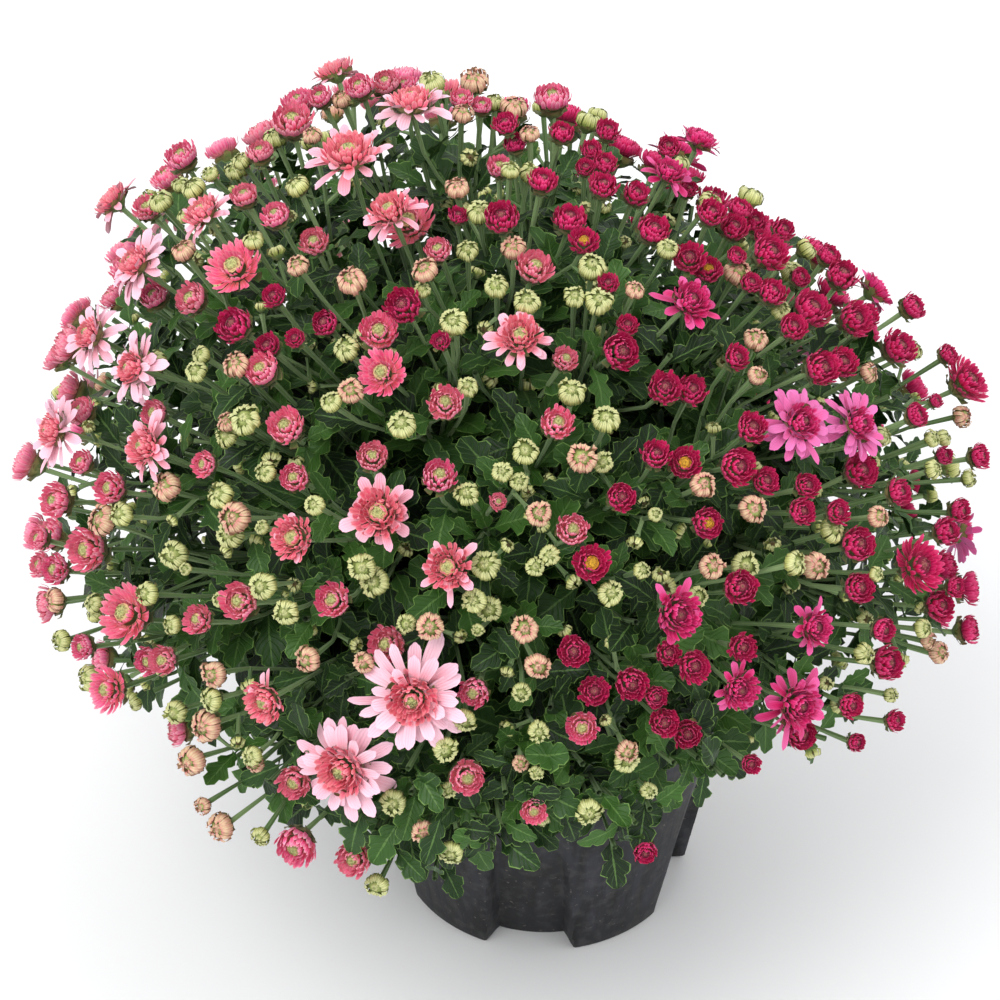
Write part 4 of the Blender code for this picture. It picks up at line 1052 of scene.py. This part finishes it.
def stem_curve(group, draw):
    """From the soil, upright out of the pot, then out towards the group's heads."""
    arm = group["middle"] - DOME_CENTRE
    reach = np.linalg.norm(arm)
    hub = DOME_CENTRE + arm * max(HUB_LEAST, 1.0 - GROUP_DEPTH / reach)
    flat = unit(np.array((arm[0], arm[1], 0.0)))
    side = -1.0 if group["plant"] == "salmon" else 1.0
    foot = np.array((side * PLANT_BASE_OFFSET, 0.0, SOIL_HEIGHT - FOOT_DEPTH)) + STEM_SPREAD * flat
    foot = foot + np.array((draw.normal(0.0, FOOT_JITTER), draw.normal(0.0, FOOT_JITTER), 0.0))
    over_rim = foot + STEM_RISE * UP
    bend = DOME_CENTRE + STEM_BEND * arm + STEM_BEND_RISE * UP
    return curve(foot, over_rim, bend, hub, STEM_RINGS)


def point_on(path, share):
    """Point and direction at a share of a path's rings."""
    place = share * (len(path) - 1)
    k = min(int(place), len(path) - 2)
    step = path[k + 1] - path[k]
    return path[k] + (place - k) * step, unit(step)


# Pieces of foliage


def add_leaves(batch, leaves, draw, rows, limit, hang):
    """Blades with rounded lobes: leaves are (base, along, normal, length, column)."""
    base, along, normal = (np.array([leaf[k] for leaf in leaves]) for k in range(3))
    length = np.array([leaf[3] for leaf in leaves])
    columns = np.array([leaf[4] for leaf in leaves], dtype=float)
    side = unit(np.cross(along, normal))
    count = len(leaves)
    outline = LEAF_OUTLINE[rows]
    rib = LEAF_RIB[rows]
    share = np.abs(LEAF_COLUMNS)
    x = rib[:, None] + share * (outline[:, :1] - rib[:, None])
    y = np.sign(LEAF_COLUMNS) * share * outline[:, 1:]
    broad = draw.uniform(*LEAF_BREADTH, (count, 1, 1))
    uneven = 1.0 + draw.normal(0.0, LEAF_UNEVEN, (count, len(rows), len(LEAF_COLUMNS)))
    x = np.broadcast_to(x, uneven.shape)
    y = y * broad * uneven
    droop = draw.uniform(*LEAF_DROOP, (count, 1, 1))
    fold = draw.uniform(*LEAF_FOLD, (count, 1, 1))
    phase = draw.uniform(0.0, TAU, (count, 1, 1))
    wave = LEAF_WAVE * np.sin(phase + LEAF_WAVES * x) * share ** 2
    z = fold * np.abs(y) - droop * np.maximum(x, 0.0) ** 2 + wave
    scale = length[:, None, None]
    grid = base[:, None, None] + (scale * x)[..., None] * along[:, None, None]
    grid = grid + (scale * y)[..., None] * side[:, None, None]
    grid = grid + (scale * z)[..., None] * normal[:, None, None]
    keep = leaf_fits(grid, limit, hang)
    batch.add(grid[keep], 0, columns[keep], 0.5 + 0.5 * LEAF_COLUMNS, np.linspace(0.0, 1.0, len(rows)))


def leaf_fits(grid, limit, hang):
    """Leaves that stay under the heads, above the skirt and out of the pot's wall."""
    flat = grid.reshape(len(grid), -1, 3)
    low = reach_ratio(flat).max(1) < limit
    near_pot = (np.hypot(flat[..., 0], flat[..., 1]) < POT_ROOM_RADIUS) & (flat[..., 2] < POT_ROOM_HEIGHT)
    direction = unit(flat - DOME_CENTRE)
    hanging = np.arcsin(direction[..., 2]) < skirt_height(direction) - hang
    return low & ~near_pot.any(1) & ~hanging.any(1)


def leaf_on(path, share, turn, length, column, draw):
    """One leaf that stands out from a stem, its upper face towards the light."""
    base, onward = point_on(path, share)
    first, second = square_to(onward, turn)
    lift = math.radians(draw.uniform(*LEAF_LIFT_DEGREES))
    outward = unit(base - DOME_CENTRE)
    along = unit(first * math.cos(lift) + onward * math.sin(lift))
    up = unit(outward + LEAF_TO_LIGHT * UP + draw.normal(0.0, LEAF_TWIST, 3))
    normal = up - along * (up @ along)
    normal = unit(normal + LEAF_SKEW * second)
    return base + LEAF_STALK * length * along, along, normal, length, column


def leaves_up(path, count, part, lengths, taper, columns, spin, draw):
    """Leaves up a stem, each a golden turn on from the last. part: where they start, and how far they go."""
    start, run = part
    found = []
    for k in range(count):
        share = start + run * (k + draw.random()) / count
        length = draw.uniform(*lengths) - taper * share
        found.append(leaf_on(path, share, spin + GOLDEN * k, length, draw.integers(*columns), draw))
    return found


def shoot_leaves(path, draw):
    """The tuft of small leaves at the end of a shoot."""
    spin = draw.uniform(0.0, TAU)
    start, run = SHOOT_LEAF_PART
    found = []
    for k in range(SHOOT_LEAVES):
        share = start + run * (k + 0.5) / SHOOT_LEAVES
        length = draw.uniform(*SHOOT_LEAF_LENGTH) * (1.2 - 0.4 * share)
        found.append(leaf_on(path, share, spin + GOLDEN * k, length, draw.integers(1, COLUMNS), draw))
    return found


def stalk_leaves(path, draw):
    """The few small leaves on a flower's stalk."""
    found = []
    for _ in range(STALK_LEAVES):
        share = draw.uniform(*STALK_LEAF_PART)
        length = draw.uniform(*STALK_LEAF_LENGTH) * (1.15 - 0.5 * share)
        column = draw.integers(1, COLUMNS)
        found.append(leaf_on(path, share, draw.uniform(0.0, TAU), length, column, draw))
    return found


def side_bud(plant, stalk, draw):
    """A small bud beside a stalk, with its own short stalk."""
    root, onward = point_on(stalk, draw.uniform(*SIDE_BUD_PLACE))
    first, _ = square_to(onward, draw.uniform(0.0, TAU))
    size = draw.uniform(*SIDE_BUD_RADIUS)
    tip = root + draw.uniform(*SIDE_BUD_STALK) * unit(first + 0.8 * onward)
    bud = new_head(draw, plant, "bud", tip + size * unit(tip - root), size)
    bud["axis"] = unit(tip - root)
    return bud, curve(root, root + 0.3 * (tip - root), root + 0.6 * (tip - root), tip, STALK_RINGS)


def plant_foliage(plant, groups, draw):
    """Leaves, stems, stalks with their tint columns, and small side buds of one plant."""
    blades = {kind: [] for kind in LEAF_KINDS}
    stems = []
    stalks = []
    stalk_columns = []
    side_buds = []
    for group in groups:
        path = stem_curve(group, draw)
        stems.append(path)
        spin = draw.uniform(0.0, TAU)
        blades["stem"] += leaves_up(
            path, STEM_LEAVES, STEM_LEAF_PART, STEM_LEAF_LENGTH, STEM_LEAF_TAPER, (1, COLUMNS), spin, draw
        )
        # Inner leaves take the two darkest tint columns: painted shade deep in the foliage.
        blades["inner"] += leaves_up(
            path, INNER_LEAVES, INNER_LEAF_PART, INNER_LEAF_LENGTH, 0.0, (0, 2), spin + INNER_LEAF_TURN, draw
        )
        for head in group["heads"]:
            start, onward = point_on(path, draw.uniform(*STALK_START))
            if head["kind"] == "shoot":
                span = np.linalg.norm(head["place"] - start)
                first = start + SHOOT_BEND_START * span * onward
                second = head["place"] - SHOOT_BEND_END * span * head["axis"]
                stalks.append(curve(start, first, second, head["place"], STALK_RINGS))
                stalk_columns.append(draw.integers(1, 4))
                blades["rim" if head["rim"] else "shoot"] += shoot_leaves(stalks[-1], draw)
                continue
            end = head.get("seat", head["place"] - HEAD_BACK * head["radius"] * head["axis"])
            span = np.linalg.norm(end - start)
            first = start + STALK_BEND_START * span * onward
            bend = head["axis"] * STALK_BEND_END[0] + unit(end - start) * STALK_BEND_END[1]
            stalk = curve(start, first, end - span * bend, end, STALK_RINGS)
            stalks.append(stalk)
            stalk_columns.append(draw.integers(2, COLUMNS))
            blades["stalk"] += stalk_leaves(stalk, draw)
            if draw.random() < SIDE_BUD_SHARE:
                bud, bud_stalk = side_bud(plant, stalk, draw)
                side_buds.append(bud)
                stalks.append(bud_stalk)
                stalk_columns.append(draw.integers(2, COLUMNS))
    return blades, stems, stalks, np.array(stalk_columns, dtype=float), side_buds


# Flowers


def add_layer(batch, band, draw, head, layer, columns=ALL_COLUMNS, **ways):
    grid, along = petal_ring(draw, head, layer, **ways)
    batch.add(grid, band, drawn(draw, columns, len(grid)), None, along)


def add_cup(batch, band, draw, head, rim, foot):
    """The green cup under a head, from the stalk to the rim."""
    outline = ((-0.86, foot), (-0.68, 0.42), (-0.42, rim * 0.88), (-0.10, rim))
    batch.add(turned(head, outline, CUP_SIDES), band, drawn(draw, ALL_COLUMNS))
    add_layer(batch, band, draw, head, BRACT_LAYER, rows=3)


def add_disc(batch, band, draw, head, radius, height, rise):
    """The middle of a head: a low dome of tiny florets, alternately raised."""
    rings = np.linspace(1.0, 0.04, DISC_RINGS)
    outline = [(height + rise * (1.0 - ring ** 2), radius * ring) for ring in rings]
    grid = turned(head, outline, DISC_SIDES)
    raised = (np.arange(DISC_RINGS)[:, None] + np.arange(DISC_SIDES + 1)[None, :]) % 2
    grid = grid + (DISC_RELIEF * head["radius"] * raised)[None, ..., None] * head["axis"]
    batch.add(grid, band, drawn(draw, head["columns"]))


def add_half_open(batch, head, draw):
    """Bands: 0 short petals, 1 bracts, 2 disc."""
    tint = draw.integers(0, COLUMNS - 1)
    for number, layer in enumerate(HALF_OPEN_LAYERS):
        ways = {"wild": 0.045, "rows": HALF_OPEN_ROWS[number], "shift": 0.17 * number}
        ways["spread"] = head["spread"] * HALF_OPEN_SPREADS[number]
        add_layer(batch, 0, draw, head, layer, (tint, tint + 2), **ways)
    add_cup(batch, 1, draw, head, rim=0.78, foot=0.10)
    add_layer(batch, 2, draw, head, EYE_LAYER, head["columns"], wild=0.05, rows=3)
    add_disc(batch, 2, draw, head, radius=0.40, height=0.50, rise=0.14)


def add_bud(batch, head, draw):
    """Bands: 0 cream petals, 1 bracts, 2 green core."""
    for number, layer in enumerate(BUD_LAYERS):
        ways = {"wild": 0.04, "rows": (5, 4)[number], "shift": 0.2 * number}
        add_layer(batch, 0, draw, head, layer, head["columns"], **ways)
    add_cup(batch, 1, draw, head, rim=0.80, foot=0.16)
    batch.add(turned(head, BUD_CORE, BUD_CORE_SIDES), 2, drawn(draw, ALL_COLUMNS))


def add_tiny_bud(batch, head, draw):
    """A side bud of a few millimetres, still green and closed."""
    add_layer(batch, 0, draw, head, TINY_BUD_LAYER, head["columns"], wild=0.045, rows=4)
    batch.add(turned(head, TINY_BUD_CORE, CUP_SIDES), 1, drawn(draw, ALL_COLUMNS))


def add_bloom(batch, head, draw):
    """Bands: 0 rays, 1 button petals, 2 bracts, 3 disc."""
    openness = BLOOM_OPENNESS.get(int(head["node"][-2:]), 1.0)
    grown = 1.75 - 0.75 * openness
    for number, layer in enumerate(RAY_LAYERS):
        tints = (3, COLUMNS) if openness > FULLY_OPEN else (0, 3)
        ways = {"wild": 0.11, "rows": 6, "width": 5, "shift": 0.2 * number}
        ways["shortest"] = 0.48 + 0.32 * openness
        ways["crowd"] = 0.20 + 0.80 * openness
        add_layer(batch, 0, draw, head, layer, tints, **ways)
    for number, layer in enumerate(BUTTON_LAYERS):
        count, base_radius, base_height, length, width, rise, curl, cup = layer
        layer = (
            count, base_radius * grown, base_height, length * (0.7 + 0.3 * grown),
            width * (0.4 + 0.6 * grown), rise, curl, cup,
        )
        add_layer(batch, 1, draw, head, layer, (2, COLUMNS), wild=0.06, shift=0.13 * number)
    lowered = dict(head)
    lowered["radius"] = 0.5 * head["radius"]
    lowered["place"] = head["seat"] + 0.80 * lowered["radius"] * head["axis"]
    add_cup(batch, 2, draw, lowered, rim=0.80, foot=0.16)
    add_disc(batch, 3, draw, head, radius=0.14 * grown, height=0.44, rise=0.08)


# Pot and soil


def smooth(value):
    value = np.clip(value, 0.0, 1.0)
    return value * value * (3.0 - 2.0 * value)


def pot_radius(turn, height, shift):
    """The pot's wall with its flutes, wider inside by the wall."""
    fade = max(0.0, 1.0 - height / FLUTE_TOP)
    wall = POT_BASE_RADIUS + (POT_RIM_RADIUS - POT_BASE_RADIUS) * height / POT_HEIGHT
    half = FLUTE_HALF_ANGLE_AT_TOP + (FLUTE_HALF_ANGLE_AT_BASE - FLUTE_HALF_ANGLE_AT_TOP) * fade
    half += max(0.0, -shift) / wall
    period = TAU / FLUTES
    off = np.abs((turn - FRONT_FLUTE_ANGLE + period / 2.0) % period - period / 2.0)
    return wall + shift - FLUTE_DEPTH * fade * smooth(1.0 - (off - half) / FLUTE_SIDE_ANGLE)


def pot_turns():
    """Angles round the pot, closest together at the flutes' sides."""
    period = TAU / FLUTES
    within = np.concatenate([
        np.linspace(0.0, FLUTE_SIDES_FROM, 2, endpoint=False),
        np.linspace(FLUTE_SIDES_FROM, FLUTE_SIDES_TO, 17, endpoint=False),
        np.linspace(FLUTE_SIDES_TO, period / 2.0, 5),
    ])
    half = np.concatenate([-within[:0:-1], within[:-1]])
    return np.concatenate([FRONT_FLUTE_ANGLE + k * period + half for k in range(FLUTES)])


def pot_piece(material):
    """The moulded shell: outside wall, rounded rim band, inside wall and floor, with drain holes."""
    band = POT_HEIGHT - RIM_BAND_HEIGHT
    levels = [(0.0, -0.0012), (0.0006, -0.0003), (0.0016, 0.0)]
    levels += [(height, 0.0) for height in np.linspace(0.008, band - 0.001, 14)]
    levels += [
        (band, 0.0006), (band + 0.0004, RIM_BAND_STEP - 0.0006), (band + 0.0012, RIM_BAND_STEP),
        (POT_HEIGHT - 0.0010, RIM_BAND_STEP), (POT_HEIGHT - 0.0003, RIM_BAND_STEP - 0.0003),
        (POT_HEIGHT, RIM_BAND_STEP - 0.0010), (POT_HEIGHT, -POT_WALL + 0.0008),
        (POT_HEIGHT - 0.0008, -POT_WALL),
    ]
    levels += [(height, -POT_WALL) for height in np.linspace(0.150, POT_FLOOR, 6)]
    turns = pot_turns()
    rings = []
    for height, shift in levels:
        radius = pot_radius(turns, height, shift)
        level = np.full_like(turns, height)
        rings.append(np.stack([radius * np.cos(turns), radius * np.sin(turns), level], -1))
    points = np.concatenate(rings)
    count = len(turns)
    number = np.arange(len(points)).reshape(-1, count)
    onward = np.roll(number, -1, axis=1)
    quads = np.stack([number[:-1], onward[:-1], onward[1:], number[1:]], -1).reshape(-1, 4)
    faces = quads.tolist() + [number[0][::-1].tolist(), number[-1].tolist()]
    mesh = bpy.data.meshes.new("pot_shell")
    mesh.from_pydata(points.tolist(), [], faces)
    mesh.materials.append(material)
    made = bpy.data.objects.new("pot_shell", mesh)
    bpy.context.scene.collection.objects.link(made)
    drill_holes(made)
    made.data.polygons.foreach_set("use_smooth", np.ones(len(made.data.polygons), dtype=bool))
    made.data.set_sharp_from_angle(angle=math.radians(35.0))
    return made


def drill_holes(pot):
    for k in range(FLUTES):
        turn = FRONT_FLUTE_ANGLE + (k + 0.5) * TAU / FLUTES
        place = (DRAIN_HOLE_RING * math.cos(turn), DRAIN_HOLE_RING * math.sin(turn), 0.0)
        bpy.ops.mesh.primitive_cylinder_add(
            vertices=24, radius=DRAIN_HOLE_RADIUS, depth=4.0 * POT_FLOOR, location=place
        )
        drill = bpy.context.object
        step = pot.modifiers.new("hole", "BOOLEAN")
        step.operation = "DIFFERENCE"
        step.solver = "MANIFOLD"
        step.object = drill
        graph = bpy.context.evaluated_depsgraph_get()
        result = bpy.data.meshes.new_from_object(pot.evaluated_get(graph))
        pot.modifiers.clear()
        pot.data = result
        bpy.data.objects.remove(drill, do_unlink=True)


def crumbs_piece(material):
    """Loose crumbs of potting mix on top of the soil."""
    draw = np.random.default_rng(SEED + 7)
    turn = draw.uniform(0.0, TAU, CRUMBS)
    out = SOIL_RADIUS * np.sqrt(draw.uniform(0.0, 0.94, CRUMBS))
    size = draw.uniform(*CRUMB_SIZE, CRUMBS)
    middle = np.stack([out * np.cos(turn), out * np.sin(turn), SOIL_HEIGHT + 0.25 * size], -1)
    angles = np.linspace(0.0, TAU, CRUMB_ANGLES)
    wobble = draw.uniform(0.7, 1.25, (CRUMBS, len(CRUMB_LEVELS), CRUMB_ANGLES))
    wobble[..., -1] = wobble[..., 0]
    radius = size[:, None, None] * CRUMB_WIDTHS[None, :, None] * wobble
    height = (middle[:, 2, None] + size[:, None] * CRUMB_LEVELS)[..., None]
    grid = np.stack([
        middle[:, 0, None, None] + radius * np.cos(angles),
        middle[:, 1, None, None] + radius * np.sin(angles),
        np.broadcast_to(height, radius.shape),
    ], -1)
    batch = Batch([material])
    batch.add(grid, 0, drawn(draw, ALL_COLUMNS, CRUMBS))
    return batch.make("soil_crumbs")


def attach(piece, slot, *nodes):
    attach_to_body(piece, "root")
    if nodes:
        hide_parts(*nodes)


# Camera, light and floor


def stage():
    scene = bpy.context.scene
    scene.view_settings.view_transform = "Standard"
    camera_data = bpy.data.cameras.new("camera")
    camera_data.sensor_width = SENSOR_WIDTH
    camera_data.lens = SENSOR_WIDTH * VIEW_DISTANCE / VIEW_WIDTH
    camera_data.clip_end = 20.0
    camera = bpy.data.objects.new("camera", camera_data)
    camera.location = VIEW_TARGET + VIEW_DISTANCE * VIEW_BACK
    camera.rotation_euler = (math.pi / 2.0 - VIEW_HEIGHT_ANGLE, 0.0, 0.0)
    scene.collection.objects.link(camera)
    scene.camera = camera
    world = bpy.data.worlds.new("sky")
    world.use_nodes = True
    sky = world.node_tree.nodes["Background"]
    sky.inputs["Color"].default_value = SKY_COLOUR
    sky.inputs["Strength"].default_value = SKY_STRENGTH
    scene.world = world
    for name, place, energy, size in LAMPS:
        light_data = bpy.data.lights.new(name, "AREA")
        light_data.energy = energy
        light_data.size = size
        light = bpy.data.objects.new(name, light_data)
        light.location = place
        away = -unit(LAMP_TARGET - np.array(place))
        light.rotation_euler = (math.acos(away[2]), 0.0, math.atan2(away[0], -away[1]))
        scene.collection.objects.link(light)
    bpy.ops.mesh.primitive_plane_add(size=FLOOR_SIZE, location=(0.0, 0.0, FLOOR_HEIGHT))
    floor = bpy.context.object
    floor.name = "floor"
    pale, _ = new_material("floor_pale", 0.9)
    shader_of(pale).inputs["Base Color"].default_value = FLOOR_COLOUR
    floor.data.materials.append(pale)


# The two plants


def add_stems(batch, paths, radii, columns):
    """Tubes along stems or stalks; radii are those of one tube's rings."""
    batch.add(tube_grid(np.array(paths), np.tile(radii, (len(paths), 1))), 0, columns)


def grow(plant, seed, heads, blooms, shoots, looks):
    """One plant: its leaves, stalks, half-open heads, buds and open blooms."""
    sprays = [name for name in sorted(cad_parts) if name.startswith(plant + "_spray")]
    petal_slot = plant + "_petals"
    bract = looks["bract"]
    disc = looks[plant + "_disc"]
    draw = np.random.default_rng(seed)
    own = [head for head in heads if head["plant"] == plant]
    own_blooms = [bloom for bloom in blooms if bloom["plant"] == plant]
    groups = grouped(own_blooms + own + [shoot for shoot in shoots if shoot["plant"] == plant])
    blades, stems, stalks, stalk_columns, side_buds = plant_foliage(plant, groups, draw)
    leafage = Batch([looks["leaf"]])
    for kind, ways in LEAF_KINDS.items():
        add_leaves(leafage, blades[kind], draw, *ways)
    attach(leafage.make(plant + "_leaves"), "foliage", *sprays)
    stalkage = Batch([looks["stalk"]])
    # Stems take the three darkest tint columns: painted shade inside the foliage.
    stem_columns = drawn(draw, (0, 3), len(stems))
    add_stems(stalkage, stems, np.linspace(*STEM_TAPER, STEM_RINGS) * STEM_RADIUS, stem_columns)
    add_stems(stalkage, stalks, STALK_SHAPE * STALK_RADIUS, stalk_columns)
    attach(stalkage.make(plant + "_stalks"), "foliage", *sprays)
    open_heads = Batch([looks[plant + "_short_petal"], bract, disc], HEAD_BANDS)
    buds = Batch([looks["bud"], bract, looks["bud_core"]], HEAD_BANDS)
    for head in own:
        if head["kind"] == "head":
            add_half_open(open_heads, head, draw)
        else:
            add_bud(buds, head, draw)
    for head in side_buds:
        add_tiny_bud(buds, head, draw)
    attach(open_heads.make(plant + "_heads"), petal_slot, *sprays)
    attach(buds.make(plant + "_buds"), "foliage", *sprays)
    bloom_looks = [looks[plant + "_ray"], looks[plant + "_button"], bract, disc]
    for bloom in own_blooms:
        batch = Batch(bloom_looks, BLOOM_BANDS)
        add_bloom(batch, bloom, draw)
        attach(batch.make(bloom["node"] + "_petals"), petal_slot, bloom["node"])


def main():
    stage()
    looks = {look[0]: petal_material(*look) for look in PETAL_LOOKS}
    looks.update((look[0], speckled_material(*look)) for look in SPECKLED_LOOKS)
    looks["bud"] = bud_material()
    looks["bract"] = bract_material()
    looks["leaf"] = leaf_material()
    looks["stalk"] = stalk_material()
    blooms = bloom_heads()
    heads = seen_heads(blooms)
    heads += far_heads(heads, blooms)
    shoots = leafy_shoots()
    grow("salmon", SEED + 2, heads, blooms, shoots, looks)
    grow("crimson", SEED + 3, heads, blooms, shoots, looks)
    attach(pot_piece(pot_material()), "pot_plastic", "pot")
    earth = soil_material()
    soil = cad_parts["soil"]
    soil.data.materials.clear()
    soil.data.materials.append(earth)
    attach(crumbs_piece(earth), "soil")


main()
